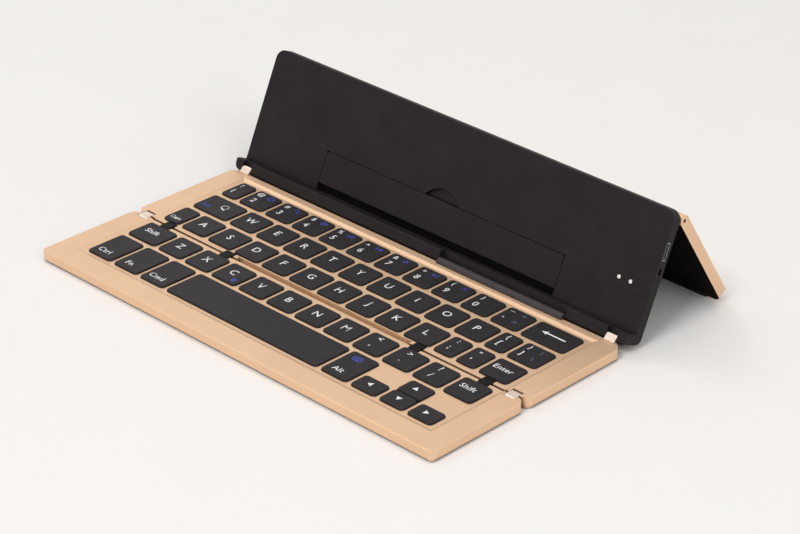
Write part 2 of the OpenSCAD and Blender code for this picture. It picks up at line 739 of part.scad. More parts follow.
// Half-round strip that covers the cable where it enters the middle panel
module cable_guard() color("dimgray") on_table()
    difference() {
        rod_x(guard_r, guard_x0, guard_x1, guard_y, 0);
        slab(guard_x0 - eps, guard_x1 + eps, guard_y - guard_r - eps, middle_depth, -guard_r, 0);
        slab(guard_x0 - eps, guard_x1 + eps, middle_depth - eps, guard_y + guard_r + eps,
             -guard_r - eps, -guard_lip);
    }

module one_key() middle_run(digit_row, digit_v, 0, 0);
module digit_keys() middle_run(digit_row, digit_v, 1, digit_count - 1);
module minus_key() middle_run(digit_row, digit_v, digit_count, digit_count);
module backspace_key() middle_run(digit_row, digit_v, digit_count + 1, digit_count + 1);
module q_key() middle_run(top_row, top_v, 0, 0);
module top_letter_keys() middle_run(top_row, top_v, 1, top_count);
module left_bracket_key() middle_run(top_row, top_v, top_count + 1, top_count + 1);
module right_bracket_key() middle_run(top_row, top_v, top_count + 2, top_count + 2);
module caps_key() middle_run(home_row, home_v, 0, 0);
module home_letter_keys() middle_run(home_row, home_v, 1, home_count);
module semicolon_key() middle_run(home_row, home_v, home_count + 1, home_count + 1);
module quote_key() middle_run(home_row, home_v, home_count + 2, home_count + 2);
module enter_key() middle_run(home_row, home_v, home_count + 3, home_count + 3);

// ---------- fold links ----------

module fold_link(x)
    translate([x - link_w / 2, 0, -link_axis_drop]) rotate([90, 0, 90]) linear_extrude(link_w)
        difference() {
            union() {
                square([link_axis_gap, 2 * link_r], center = true);
                for (v = [-1, 1] * link_axis_v) translate([v, 0]) circle(r = link_r);
            }
            for (v = [-1, 1] * link_axis_v) translate([v, 0]) circle(r = link_bore_r);
        }

module end_links() color(ivory) on_table() both_sides() fold_link(link_xs[2]);
module inner_links() color(black) on_table() both_sides() {
    fold_link(link_xs[0]);
    fold_link(link_xs[1]);
}

// ---------- front panel ----------

module front_frame() color(gold) on_front()
    panel_shell(front_depth, front_corner_r, front_deck_v, front_windows);
module front_base() color(black) on_front() panel_base(front_depth, front_corner_r);
module front_key_board() color(steel) on_front() key_board(front_deck_v);
module front_dome_sheet() color("dimgray") on_front() dome_sheet(front_deck_v, front_keys);
module front_feet() color("dimgray") on_front() base_feet(front_depth);
module front_screws() color(steel) on_front() base_screws(front_depth);
module front_fold_pins() color(steel) on_front()
    for (side = [-1, 1], x = link_xs) fold_pin_at(side * x, fold_pin_r);

module left_shift_key() front_run(lower_row, lower_v, key_d, 0, 0);
module lower_letter_keys() front_run(lower_row, lower_v, key_d, 1, lower_count);
module right_shift_key() front_run(lower_row, lower_v, key_d, lower_count + 1, lower_count + 1);
module control_key() front_run(space_row, space_v, space_d, 0, 0);
module function_key() front_run(space_row, space_v, space_d, 1, 1);
module command_key() front_run(space_row, space_v, space_d, 2, 2);
module space_key() front_run(space_row, space_v, space_d, 3, 3);
module alt_key() front_run(space_row, space_v, space_d, 4, 4);
module left_arrow_key() front_run(space_row, arrow_far_v, arrow_d, 5, 5);
module up_arrow_key() front_run(space_row, arrow_near_v, arrow_d, 6, 6);
module down_arrow_key() front_run(space_row, arrow_far_v, arrow_d, 6, 6);
module right_arrow_key() front_run(space_row, arrow_far_v, arrow_d, 7, 7);

// ---------- stand ----------

function stand_outline() =
    round_rect(-half_w, half_w, -stand_tail, stand_l, stand_foot_r, stand_corner_r);

module stand_screw_places()
    for (x = [-1, 1] * (half_w - screw_inset), l = [stand_screw_l, stand_l - stand_screw_drop])
        translate([x, l, 0]) children();

module switch_slot() {
    half_t = switch_t / 2 + switch_play;
    slab(half_w - shell_wall - eps, half_w + eps, switch_l0,
         switch_l0 + knob_l + switch_travel + 2 * seat_gap, switch_n - half_t, switch_n + half_t);
}

// Room for the battery and the board, round the bosses of the stand's screws
module stand_cavity()
    difference() {
        union() {
            slab(-half_w + cavity_wall, half_w - shell_wall, cavity_l0, cavity_top,
                 cover_n - eps, cavity_n);
            slab(side_cavity_x, half_w - shell_wall, board_l0 - board_gap, cavity_l0 + eps,
                 cover_n - eps, cavity_n);
        }
        stand_screw_places() translate([0, 0, cover_n - 1]) cylinder(r = boss_r, h = stand_t);
    }

module stand_front() color(black) on_stand()
    difference() {
        intersection() {
            plate(stand_outline(), -stand_t, riser_n);
            along_x(concat(
                arc(-stand_tail + tail_round, -stand_t + tail_round, tail_round, 180, 270, 4),
                [[stand_l, -stand_t], [stand_l, -edge_bevel], [stand_l - edge_bevel, 0],
                 [riser_l, 0], [riser_l, riser_n - edge_bevel], [riser_l - edge_bevel, riser_n]],
                arc(-stand_tail + riser_round, riser_n - riser_round, riser_round, 90, 180, 5)),
                -half_w - 1, half_w + 1);
        }
        // Seat of the back cover
        slab(-half_w - 1, half_w + 1, riser_l, stand_l + 1, -stand_t - 1, cover_n);
        stand_cavity();
        // Recess of the rest flap, the open slot below it and the finger scoop above it
        slab(-recess_side, recess_side, slot_l0, flap_top + flap_clear, recess_n, eps);
        intersection() {
            translate([0, scoop_top - scoop_r, recess_n]) cylinder(r = scoop_r, h = flap_t + 1);
            slab(-scoop_r, scoop_r, flap_top, scoop_top + 1, recess_n, 1);
        }
        both_sides() rod_x(flap_pin_r + pin_clear, recess_side - eps,
                           side_cavity_x - pin_end_gap + pin_end_room, flap_pivot_l, -flap_t / 2);
        // Riser notches for the tabs and the cable guard, and the hinge pins' bores
        both_sides() {
            slab(tab_x - tab_notch_w / 2, tab_x + tab_notch_w / 2, -stand_tail - 1, riser_l + 1,
                 tab_notch_n, riser_n + 1);
            rod_x(hinge_pin_r, tab_x - tab_w / 2 - hinge_pin_seat,
                  tab_x + tab_w / 2 + hinge_pin_seat, pivot_l, pivot_n);
        }
        slab(guard_x0 - guard_play, guard_x1 + guard_play, -stand_tail - 1, riser_l + 1,
             guard_notch_n, riser_n + 1);
        for (x = light_xs) translate([x, light_l, cavity_n - eps])
            cylinder(r = light_r, h = face_wall + 1);
        switch_slot();
        slab(half_w - shell_wall - eps, half_w + eps, port_l0, port_l0 + port_l, port_n0, port_n1);
        stand_screw_places() translate([0, 0, cover_n - eps])
            cylinder(r = screw_r, h = stand_screw_bite + 2 * screw_tip_room);
        // Fine seam above the right end of the riser
        slab(half_w - seam_w, half_w + 1, seam_l, seam_l + seam_t, -seam_depth, eps);
    }

module stand_back() color(black) on_stand()
    difference() {
        union() {
            intersection() {
                plate(stand_outline(), -stand_t, cover_n);
                slab(-half_w - 1, half_w + 1, riser_l + seat_gap, stand_l + 1, -stand_t - 1, 0);
            }
            both_sides() {
                rod_x(knuckle_r, knuckle_x - knuckle_w / 2, knuckle_x + knuckle_w / 2,
                      rear_pin_l, rear_pin_n);
                slab(knuckle_x - knuckle_w / 2, knuckle_x + knuckle_w / 2,
                     rear_pin_l - knuckle_r, rear_pin_l + knuckle_r, rear_pin_n, -stand_t + eps);
            }
        }
        both_sides() rod_x(rear_pin_r + pin_clear, knuckle_x - knuckle_w / 2 - eps,
                           knuckle_x + knuckle_w / 2 + eps, rear_pin_l, rear_pin_n);
        stand_screw_places() translate([0, 0, -stand_t - eps]) {
            cylinder(r = screw_head_r + seat_gap, h = screw_head_h + eps);
            cylinder(r = screw_r + seat_gap, h = back_cover_t + 2 * eps);
        }
    }

module battery() color("silver") on_stand()
    slab(-half_w + battery_inset, -half_w + battery_inset + battery_w, battery_l0, battery_l1,
         cover_n, cover_n + battery_t);

module main_board() color("darkgreen") on_stand()
    difference() {
        slab(board_x1 - board_w, board_x1, board_l0, board_l1, cover_n, cover_n + board_t);
        stand_screw_places() translate([0, 0, cover_n - eps])
            cylinder(r = boss_r + board_gap, h = board_t + 2 * eps);
    }

module charging_port() color(steel) on_stand()
    difference() {
        x0 = half_w - port_depth;
        l0 = port_l0 + seat_gap;
        l1 = port_l0 + port_l - seat_gap;
        slab(x0, half_w - face_inset, l0, l1, port_n0, port_n1);
        slab(x0 + port_back, half_w, l0 + port_wall, l1 - port_wall, port_n0 + port_wall,
             port_n1 - port_wall);
    }

module indicator_lights() color("white") on_stand()
    for (x = light_xs) translate([x, light_l, cover_n + board_t])
        cylinder(r = light_r, h = -cover_n - board_t);

module stand_hinge_pins() color(steel) on_stand()
    both_sides() rod_x(hinge_pin_r, tab_x - tab_w / 2 - hinge_pin_seat,
                       tab_x + tab_w / 2 + hinge_pin_seat, pivot_l, pivot_n);

module stand_screws() color(steel) on_stand()
    stand_screw_places() {
        translate([0, 0, -stand_t]) cylinder(r = screw_head_r, h = screw_head_h);
        translate([0, 0, -stand_t + screw_head_h - eps])
            cylinder(r = screw_r, h = back_cover_t - screw_head_h + stand_screw_bite);
    }

module power_switch() color(black) on_stand() {
    l0 = switch_l0 + seat_gap;
    flange_x1 = half_w - shell_wall - switch_play;
    flange_half = switch_t / 2 + 2 * switch_play;
    slab(flange_x1 - flange_t, half_w - face_inset, l0, l0 + knob_l, switch_n - switch_t / 2,
         switch_n + switch_t / 2);
    slab(flange_x1 - flange_t, flange_x1, l0 - flange_reach, l0 + knob_l + flange_reach,
         switch_n - flange_half, switch_n + flange_half);
}

module rest_flap() color(black) on_stand()
    difference() {
        union() {
            plate(round_rect(-flap_half, flap_half, flap_pivot_l, flap_top, eps, flap_corner_r),
                  -flap_t, 0);
            rod_x(flap_t / 2, -flap_half, flap_half, flap_pivot_l, -flap_t / 2);
        }
        both_sides() rod_x(flap_pin_r, flap_half - flap_pin_seat, flap_half + 1, flap_pivot_l,
                           -flap_t / 2);
    }

module flap_pins() color(steel) on_stand()
    both_sides() rod_x(flap_pin_r, flap_half - flap_pin_seat, side_cavity_x - pin_end_gap,
                       flap_pivot_l, -flap_t / 2);

// ---------- rear panel ----------

module rear_blank() {
    r = rear_t / 2;
    intersection() {
        plate(round_rect(-half_w, half_w, -r - 1, rear_end_u, rear_top_r, rear_corner_r),
              -r - 1, r + 1);
        union() {
            rod_x(r, -half_w, half_w, 0, 0);
            along_x([[0, -r], [rear_end_u, -r], [rear_end_u, r - rear_end_bevel],
                     [rear_end_u - rear_end_bevel, r], [0, r]], -half_w, half_w);
        }
    }
}

// The liner's outline, less some play at its edges
module rear_plate(play, t0)
    plate(round_rect(-half_w + liner_rim + play, half_w - liner_rim - play, liner_u0 + play,
                     liner_u1 - play, rear_top_r, rear_corner_r - liner_rim),
          t0, -rear_t / 2 + liner_t);

module rear_shell() color(gold) on_rear()
    difference() {
        rear_blank();
        slab(-half_w + shell_wall, half_w - shell_wall, rear_lip, rear_hollow_u,
             -rear_t / 2 - eps, rear_t / 2 - rear_skin);
        rear_plate(0, -rear_t / 2 - eps);
        both_sides() {
            slab(knuckle_x - knuckle_w / 2 - knuckle_gap, knuckle_x + knuckle_w / 2 + knuckle_gap,
                 -rear_t, knuckle_r + knuckle_gap, -rear_t, rear_t);
            rod_x(rear_pin_r, knuckle_x - knuckle_w / 2 - hinge_pin_seat, half_w + eps, 0, 0);
        }
    }

module rear_liner() color(black) on_rear() rear_plate(seat_gap, -rear_t / 2);

module rear_hinge_pins() color(steel) on_rear()
    both_sides() rod_x(rear_pin_r, knuckle_x - knuckle_w / 2 - hinge_pin_seat,
                       half_w - rear_pin_sunk, 0, 0);

// Wedge between the rear panel's square end and the tabletop
module rear_foot() color("dimgray") on_table() {
    t0 = -rear_t / 2 + rear_foot_set;
    t1 = t0 + rear_foot_w;
    y0 = rear_y(rear_end_u, t0);
    y1 = rear_y(rear_end_u, t1);
    along_x([[y0, table_z], [y1, table_z], [y1, rear_z(rear_end_u, t1)],
             [y0, rear_z(rear_end_u, t0)]], -half_w + rear_foot_inset, half_w - rear_foot_inset);
}

// ---------- nodes ----------

middle_frame();
middle_base();
middle_key_board();
middle_dome_sheet();
middle_feet();
middle_screws();
middle_fold_pins();
hinge_tabs();
cable_guard();
one_key();
digit_keys();
minus_key();
backspace_key();
q_key();
top_letter_keys();
left_bracket_key();
right_bracket_key();
caps_key();
home_letter_keys();
semicolon_key();
quote_key();
enter_key();
end_links();
inner_links();
front_frame();
front_base();
front_key_board();
front_dome_sheet();
front_feet();
front_screws();
front_fold_pins();
left_shift_key();
lower_letter_keys();
right_shift_key();
control_key();
function_key();
command_key();
space_key();
alt_key();
left_arrow_key();
up_arrow_key();
down_arrow_key();
right_arrow_key();
stand_front();
stand_back();
battery();
main_board();
charging_port();
indicator_lights();
stand_hinge_pins();
stand_screws();
power_switch();
rest_flap();
flap_pins();
rear_shell();
rear_liner();
rear_hinge_pins();
rear_foot();
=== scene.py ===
"""Looks of a folding keyboard with a hinged stand: satin gold panels, printed black keys.

Sizes are in millimetres in the classes and are turned into metres where a mesh is made. Every
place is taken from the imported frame, so a piece follows the CAD node it dresses.
"""

import json
import logging
import math
from dataclasses import dataclass, field
from enum import Enum
from typing import Iterable, Sequence

import bmesh
import bpy
from mathutils import Matrix, Vector

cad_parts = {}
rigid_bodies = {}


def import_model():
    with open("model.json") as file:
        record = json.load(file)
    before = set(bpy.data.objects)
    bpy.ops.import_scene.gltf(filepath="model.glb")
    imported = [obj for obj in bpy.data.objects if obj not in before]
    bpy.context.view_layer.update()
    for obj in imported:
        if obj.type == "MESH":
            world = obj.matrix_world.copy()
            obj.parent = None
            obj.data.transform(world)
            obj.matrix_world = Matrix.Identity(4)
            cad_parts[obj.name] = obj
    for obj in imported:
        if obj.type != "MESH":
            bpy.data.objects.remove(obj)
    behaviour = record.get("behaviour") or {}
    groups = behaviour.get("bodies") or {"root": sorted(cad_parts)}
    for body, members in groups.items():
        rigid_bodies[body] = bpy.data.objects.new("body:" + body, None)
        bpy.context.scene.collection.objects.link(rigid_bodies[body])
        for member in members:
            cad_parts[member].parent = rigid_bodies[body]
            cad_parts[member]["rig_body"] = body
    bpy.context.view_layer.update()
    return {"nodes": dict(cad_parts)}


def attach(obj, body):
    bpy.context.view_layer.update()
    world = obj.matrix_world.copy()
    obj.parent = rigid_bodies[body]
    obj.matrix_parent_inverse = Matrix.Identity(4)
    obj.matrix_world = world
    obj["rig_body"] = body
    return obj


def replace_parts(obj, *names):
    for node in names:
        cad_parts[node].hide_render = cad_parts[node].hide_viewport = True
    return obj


MM = 0.001
LOG = logging.getLogger("keyboard")

# Distance in millimetres at which the split corners of a CAD mesh are joined
WELD = 0.002
# Profile of a softened edge, and the angle in degrees past which a round piece's edge is sharp
EDGE_PROFILE = 0.6
ROUND_SHADE = 40
# Distance in millimetres at which nearby walls darken a gap with painted shade, and the openness
# over which the painted shade works
SHADE_REACH = 3.0
SHADE_OPENNESS = (0.25, 0.8)
# Values of the noise between which the colour and the gloss of a finish change
PATCH_SPAN = (0.35, 0.65)
GRAIN_SPAN = (0.3, 0.7)

Point = tuple[float, float]
Source = bpy.types.NodeSocket | float | tuple[float, ...]

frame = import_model()


# ---------------------------------------------------------------------------
# Finishes
# ---------------------------------------------------------------------------


def linear(red: int, green: int, blue: int) -> tuple[float, float, float, float]:
    """Turns a display colour into the linear one that a shader takes.

    Args:
        red: Red, 0 to 255.
        green: Green, 0 to 255.
        blue: Blue, 0 to 255.

    Returns:
        The colour with an alpha of one.
    """

    def channel(value: int) -> float:
        """One channel, by the display curve."""
        share = value / 255
        return share / 12.92 if share <= 0.04045 else ((share + 0.055) / 1.055) ** 2.4

    return (channel(red), channel(green), channel(blue), 1.0)


@dataclass(frozen=True)
class Grain:
    """Fine relief of a surface.

    Attributes:
        size: Size of a grain in millimetres.
        depth: Height of the relief in millimetres.
        stretch: How much longer the grain is along x than across it.
    """

    size: float
    depth: float
    stretch: float = 1.0


@dataclass(frozen=True)
class Wiring:
    """The node tree of a material or of the world.

    Attributes:
        tree: The node tree.
    """

    tree: bpy.types.NodeTree

    def node(self, kind: str, **inputs: Source) -> bpy.types.Node:
        """Adds a node and feeds its inputs.

        Args:
            kind: Type of the node, without the prefix that all types share.
            inputs: What each input takes, by the input's name with _ for a space.

        Returns:
            The node.
        """
        node = self.tree.nodes.new("ShaderNode" + kind)
        for name, source in inputs.items():
            self.feed(node.inputs[name.replace("_", " ")], source)
        return node

    def feed(self, socket: bpy.types.NodeSocket, source: Source) -> None:
        """Links an input to an output, or gives it a fixed value.

        Args:
            socket: The input.
            source: The output or the value.
        """
        if isinstance(source, bpy.types.NodeSocket):
            self.tree.links.new(source, socket)
        else:
            socket.default_value = source


@dataclass(frozen=True)
class Finish:
    """A surface finish with grain, a faint change of colour and a changing gloss.

    Attributes:
        name: Name of the material, before its ending.
        dark: Display colour of the darker patches.
        light: Display colour of the lighter patches.
        patch: Size of a patch in millimetres.
        rough_low: Lowest roughness.
        rough_high: Highest roughness.
        grain: The surface's relief.
        metallic: Share of metal in the shader.
        specular: Specular level of the shader.
        gap_shade: How far painted shade darkens tight gaps, from nought to one.
        gap_shade_colour: Display colour of the painted shade in the tightest gaps.
        slot: Material slot of the record; not used.
    """

    name: str
    dark: tuple[int, int, int]
    light: tuple[int, int, int]
    patch: float
    rough_low: float
    rough_high: float
    grain: Grain
    metallic: float = 0.0
    specular: float = 0.5
    gap_shade: float = 0.0
    gap_shade_colour: tuple[int, int, int] = (6, 5, 5)
    slot: str = ""

    def material(self) -> bpy.types.Material:
        """Builds the material, or finds it if it is built already.

        Returns:
            The material.
        """
        title = self.name + "_finish"
        made = bpy.data.materials.get(title)
        if made is not None:
            return made
        made = bpy.data.materials.new(title)
        made.use_nodes = True
        wires = Wiring(made.node_tree)
        shader = made.node_tree.nodes["Principled BSDF"]
        shader.inputs["Metallic"].default_value = self.metallic
        shader.inputs["Specular IOR Level"].default_value = self.specular
        place = wires.node("TexCoord").outputs["Object"]
        spread = wires.node("Mapping", Vector=place, Scale=(1 / self.grain.stretch, 1, 1))
        grains = self._noise(wires, spread.outputs["Vector"], self.grain.size, 2)
        gloss = self._span(wires, grains, GRAIN_SPAN, (self.rough_low, self.rough_high))
        relief = wires.node("Bump", Height=grains, Strength=1.0,
                            Distance=self.grain.depth * MM)
        wires.feed(shader.inputs["Base Color"], self._colour(wires, place))
        wires.feed(shader.inputs["Roughness"], gloss)
        wires.feed(shader.inputs["Normal"], relief.outputs["Normal"])
        return made

    @staticmethod
    def _noise(wires: Wiring, vector: bpy.types.NodeSocket, size: float,
               detail: float) -> bpy.types.NodeSocket:
        """Adds a noise texture.

        Args:
            wires: The material's nodes.
            vector: Coordinates of the noise.
            size: Size of a feature in millimetres.
            detail: Octaves of the noise.

        Returns:
            The noise's value.
        """
        noise = wires.node("TexNoise", Vector=vector, Scale=1 / (size * MM), Detail=detail)
        return noise.outputs["Fac"]

    @staticmethod
    def _span(wires: Wiring, value: bpy.types.NodeSocket, given: Point,
              wanted: Point) -> bpy.types.NodeSocket:
        """Turns one range of values into another.

        Args:
            wires: The material's nodes.
            value: The value to turn.
            given: Both ends of its range.
            wanted: Both ends of the result's range.

        Returns:
            The result.
        """
        span = wires.node("MapRange", Value=value, From_Min=given[0], From_Max=given[1],
                          To_Min=wanted[0], To_Max=wanted[1])
        return span.outputs["Result"]

    def _colour(self, wires: Wiring, place: bpy.types.NodeSocket) -> bpy.types.NodeSocket:
        """Blends the two colours in patches, and paints shade into tight gaps.

        Args:
            wires: The material's nodes.
            place: Coordinates on the piece.

        Returns:
            The colour.
        """
        ramp = wires.node("ValToRGB", Fac=self._noise(wires, place, self.patch, 3))
        ends = ramp.color_ramp.elements
        for end, position, colour in zip(ends, PATCH_SPAN, (self.dark, self.light)):
            end.position = position
            end.color = linear(*colour)
        if not self.gap_shade:
            return ramp.outputs["Color"]
        # Painted shade: where nearby walls close in, the colour turns towards the dark gap colour.
        occlusion = wires.node("AmbientOcclusion", Distance=SHADE_REACH * MM)
        share = self._span(wires, occlusion.outputs["AO"], SHADE_OPENNESS, (self.gap_shade, 0.0))
        shaded_colour = wires.node("Mix")
        shaded_colour.data_type = "RGBA"
        wires.feed(shaded_colour.inputs["Factor"], share)
        wires.feed(shaded_colour.inputs["A"], ramp.outputs["Color"])
        wires.feed(shaded_colour.inputs["B"], linear(*self.gap_shade_colour))
        return shaded_colour.outputs["Result"]


# The gold and the stand's black both carry painted shade in tight gaps; the gold's is dark brown
# (104, 66, 28).
SATIN_GOLD = Finish("satin_gold", (230, 193, 158), (233, 197, 162), 22, 0.42, 0.5,
                    Grain(0.16, 0.004), 0.5, 0.4, 0.9, (104, 66, 28), "gold_metal")
STAND_BLACK = Finish("stand_black", (32, 27, 29), (37, 32, 34), 14, 0.54, 0.64,
                     Grain(0.14, 0.004), 0.0, 0.16, 0.8, slot="black_plastic")
LINER_BLACK = Finish("liner_black", (8, 5, 4), (12, 8, 7), 8, 0.66, 0.78,
                     Grain(0.3, 0.006), 0.0, 0.05, slot="black_plastic")
# Near-black of the thin sheet in the flap's recess: painted shade, not a part of the stand.
SHADE_SHEET_BLACK = Finish("shade_sheet_black", (7, 5, 5), (10, 8, 8), 8, 0.7, 0.8, Grain(0.3, 0.006), 0.0, 0.05,
                    slot="black_plastic")
BLACK_PLASTIC = Finish("black_plastic", (24, 22, 23), (30, 28, 29), 6, 0.5, 0.62,
                       Grain(0.3, 0.008), 0.0, 0.22, slot="black_plastic")
KEY_PLASTIC = Finish("key_plastic", (38, 35, 38), (43, 40, 43), 5, 0.48, 0.6,
                     Grain(0.2, 0.006), 0.0, 0.2, slot="key_plastic")
# Gold-coloured metal of the links and tabs, given a lighter ivory colour: painted highlight, on top
# of the metal's real gloss.
HIGHLIT_GOLD_METAL = Finish("ivory_metal", (232, 212, 196), (240, 222, 208), 4, 0.28, 0.4,
                     Grain(0.12, 0.003), 0.75, slot="ivory_metal")
LINK_BLACK = Finish("link_black", (13, 11, 11), (18, 16, 16), 3, 0.5, 0.6,
                    Grain(0.15, 0.004), 0.0, 0.15, slot="black_metal")
GUARD_GREY = Finish("guard_grey", (54, 48, 50), (62, 56, 58), 5, 0.42, 0.54,
                    Grain(0.2, 0.005), 0.0, 0.3, slot="grey_plastic")
RUBBER = Finish("black_rubber", (22, 22, 22), (30, 30, 30), 3, 0.7, 0.85,
                Grain(0.35, 0.015), 0.0, 0.3, slot="black_rubber")
STEEL = Finish("steel", (176, 178, 182), (196, 198, 202), 3, 0.22, 0.36,
               Grain(0.1, 0.002, 6), 1.0, slot="steel")
BOARD = Finish("board", (18, 62, 36), (26, 80, 46), 2, 0.4, 0.55, Grain(0.3, 0.01), 0.0, 0.5,
               slot="board")
SILICONE = Finish("silicone", (120, 122, 124), (138, 140, 142), 4, 0.5, 0.65,
                  Grain(0.3, 0.008), 0.0, 0.4, slot="silicone")
CELL_FOIL = Finish("cell_foil", (150, 152, 156), (176, 178, 182), 6, 0.25, 0.5,
                   Grain(1.2, 0.05), 0.9, slot="cell_foil")
LIGHT_PIPE = Finish("light_pipe", (224, 224, 222), (238, 238, 236), 1, 0.25, 0.35,
                    Grain(0.2, 0.003), 0.0, 0.5, slot="light_pipe")
WHITE_INK = Finish("white_ink", (232, 231, 234), (244, 243, 246), 1, 0.5, 0.6,
                   Grain(0.1, 0.002), slot="key_plastic")
BLUE_INK = Finish("blue_ink", (66, 76, 176), (78, 90, 196), 1, 0.5, 0.6,
                  Grain(0.1, 0.002), slot="key_plastic")
FAINT_INK = Finish("faint_ink", (86, 92, 124), (98, 104, 136), 1, 0.5, 0.6,
                   Grain(0.1, 0.002), slot="key_plastic")


# ---------------------------------------------------------------------------
# Mesh helpers
# ---------------------------------------------------------------------------

def arc(centre: Point, radius: float, start: float, end: float, steps: int) -> list[Point]:
    """Points along an arc.

    Args:
        centre: Centre of the arc.
        radius: Radius.
        start: First angle in degrees.
        end: Last angle in degrees.
        steps: Number of stretches.

    Returns:
        The points, both ends among them.
    """
    angles = [math.radians(start + (end - start) * i / steps) for i in range(steps + 1)]
    return [(centre[0] + radius * math.cos(a), centre[1] + radius * math.sin(a)) for a in angles]


def rounded(half_x: float, half_y: float, radius: float, steps: int = 6) -> list[Point]:
    """Outline of a rectangle with round corners about the origin.

    Args:
        half_x: Half of its width.
        half_y: Half of its height.
        radius: Corner radius.
        steps: Stretches in each corner.

    Returns:
        The outline's points, counter-clockwise.
    """
    x, y = half_x - radius, half_y - radius
    return (arc((x, y), radius, 0, 90, steps) + arc((-x, y), radius, 90, 180, steps)
            + arc((-x, -y), radius, 180, 270, steps) + arc((x, -y), radius, 270, 360, steps))


def add_object(mesh: bpy.types.Mesh, body: str, finish: Finish) -> bpy.types.Object:
    """Puts a mesh in the scene as a piece of its name, on a body and with a finish.

    Args:
        mesh: The mesh, in the row frame.
        body: CAD body that it rides on.
        finish: Its finish.

    Returns:
        The new object.
    """
    piece = bpy.data.objects.new(mesh.name, mesh)
    bpy.context.scene.collection.objects.link(piece)
    mesh.materials.clear()
    mesh.materials.append(finish.material())
    for face in mesh.polygons:
        face.material_index = 0
    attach(piece, body)
    LOG.info("%s rides on %s: %d faces", piece.name, body, len(mesh.polygons))
    return piece


def finished(bm: bmesh.types.BMesh, name: str) -> bpy.types.Mesh:
    """Turns working geometry into a mesh and frees it.

    Args:
        bm: The working geometry.
        name: Name of the mesh.

    Returns:
        The mesh.
    """
    mesh = bpy.data.meshes.new(name)
    bm.to_mesh(mesh)
    bm.free()
    return mesh


def even_shading(piece: bpy.types.Object) -> None:
    """Weights a piece's normals by the size of its faces, so that large faces shade flat."""
    even = piece.modifiers.new("Even shading", "WEIGHTED_NORMAL")
    even.keep_sharp = True


def thicken(bm: bmesh.types.BMesh, shift: Vector) -> None:
    """Turns flat faces into thin solids.

    Args:
        bm: The mesh.
        shift: From the given faces to the far side of the solids, in metres.
    """
    grown = bmesh.ops.extrude_face_region(bm, geom=list(bm.faces))
    for item in grown["geom"]:
        if isinstance(item, bmesh.types.BMVert):
            item.co += shift
    bmesh.ops.recalc_face_normals(bm, faces=bm.faces)


def weld(bm: bmesh.types.BMesh) -> None:
    """Joins the split corners of a CAD mesh."""
    bmesh.ops.remove_doubles(bm, verts=bm.verts, dist=WELD * MM)


def shade_by_angle(bm: bmesh.types.BMesh, limit: float) -> None:
    """Shades a mesh smooth, with its edges past an angle kept sharp.

    Args:
        bm: The mesh.
        limit: The angle in degrees.
    """
    for face in bm.faces:
        face.smooth = True
    for edge in bm.edges:
        edge.smooth = edge.calc_face_angle(math.pi) < math.radians(limit)


def bridge_rings(bm: bmesh.types.BMesh, rings: Sequence[Sequence[bmesh.types.BMVert]]) -> None:
    """Joins rings of points into a closed tube with flat ends.

    Args:
        bm: The mesh.
        rings: The rings, all of one length.
    """
    for lower, upper in zip(rings, rings[1:]):
        for i in range(len(lower)):
            j = (i + 1) % len(lower)
            bm.faces.new((lower[i], lower[j], upper[j], upper[i]))
    bm.faces.new(rings[-1])
    bm.faces.new(list(reversed(rings[0])))


@dataclass(frozen=True)
class Softening:
    """How the edges of a machined or moulded piece are softened.

    Attributes:
        width: Width of the softened edge in millimetres.
        segments: Facets across it.
        edge_angle: Edges sharper than this many degrees are softened.
    """

    width: float = 0.12
    segments: int = 2
    edge_angle: float = 32.0

    flat_angle = 0.5
    shade_angle = 26

    def piece(self, node: str, finish: Finish) -> None:
        """Makes the piece that stands for a CAD node, with its edges softened.

        Args:
            node: The CAD node.
            finish: The piece's finish.
        """
        source = frame["nodes"][node]
        bm = bmesh.new()
        bm.from_mesh(source.data)
        weld(bm)
        bmesh.ops.dissolve_limit(bm, angle_limit=math.radians(self.flat_angle), verts=bm.verts,
                                 edges=bm.edges)
        limit = math.radians(self.edge_angle)
        sharp = [e for e in bm.edges if e.is_manifold and e.calc_face_angle(0) > limit]
        bmesh.ops.bevel(bm, geom=sharp, offset=self.width * MM, offset_type="OFFSET",
                        segments=self.segments, profile=EDGE_PROFILE, affect="EDGES",
                        clamp_overlap=True)
        shade_by_angle(bm, self.shade_angle)
        piece = add_object(finished(bm, node + "_shown"), source["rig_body"], finish)
        even_shading(piece)
        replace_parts(piece, node)


def dress(node: str, finish: Finish) -> None:
    """Gives a CAD node that stays a finish.

    Args:
        node: The CAD node.
        finish: Its finish.
    """
    thing = frame["nodes"][node]
    thing.data.materials.clear()
    thing.data.materials.append(finish.material())
    for face in thing.data.polygons:
        face.material_index = 0
    LOG.info("%s keeps its CAD shape, in %s", node, finish.name)


# ---------------------------------------------------------------------------
# Keys
# ---------------------------------------------------------------------------


class Ink(Enum):
    """The inks of the printed key legends."""

    WHITE = "white"
    BLUE = "blue"
    FAINT = "faint"

    def finish(self) -> Finish:
        """The finish of this ink."""
        return {Ink.WHITE: WHITE_INK, Ink.BLUE: BLUE_INK, Ink.FAINT: FAINT_INK}[self]


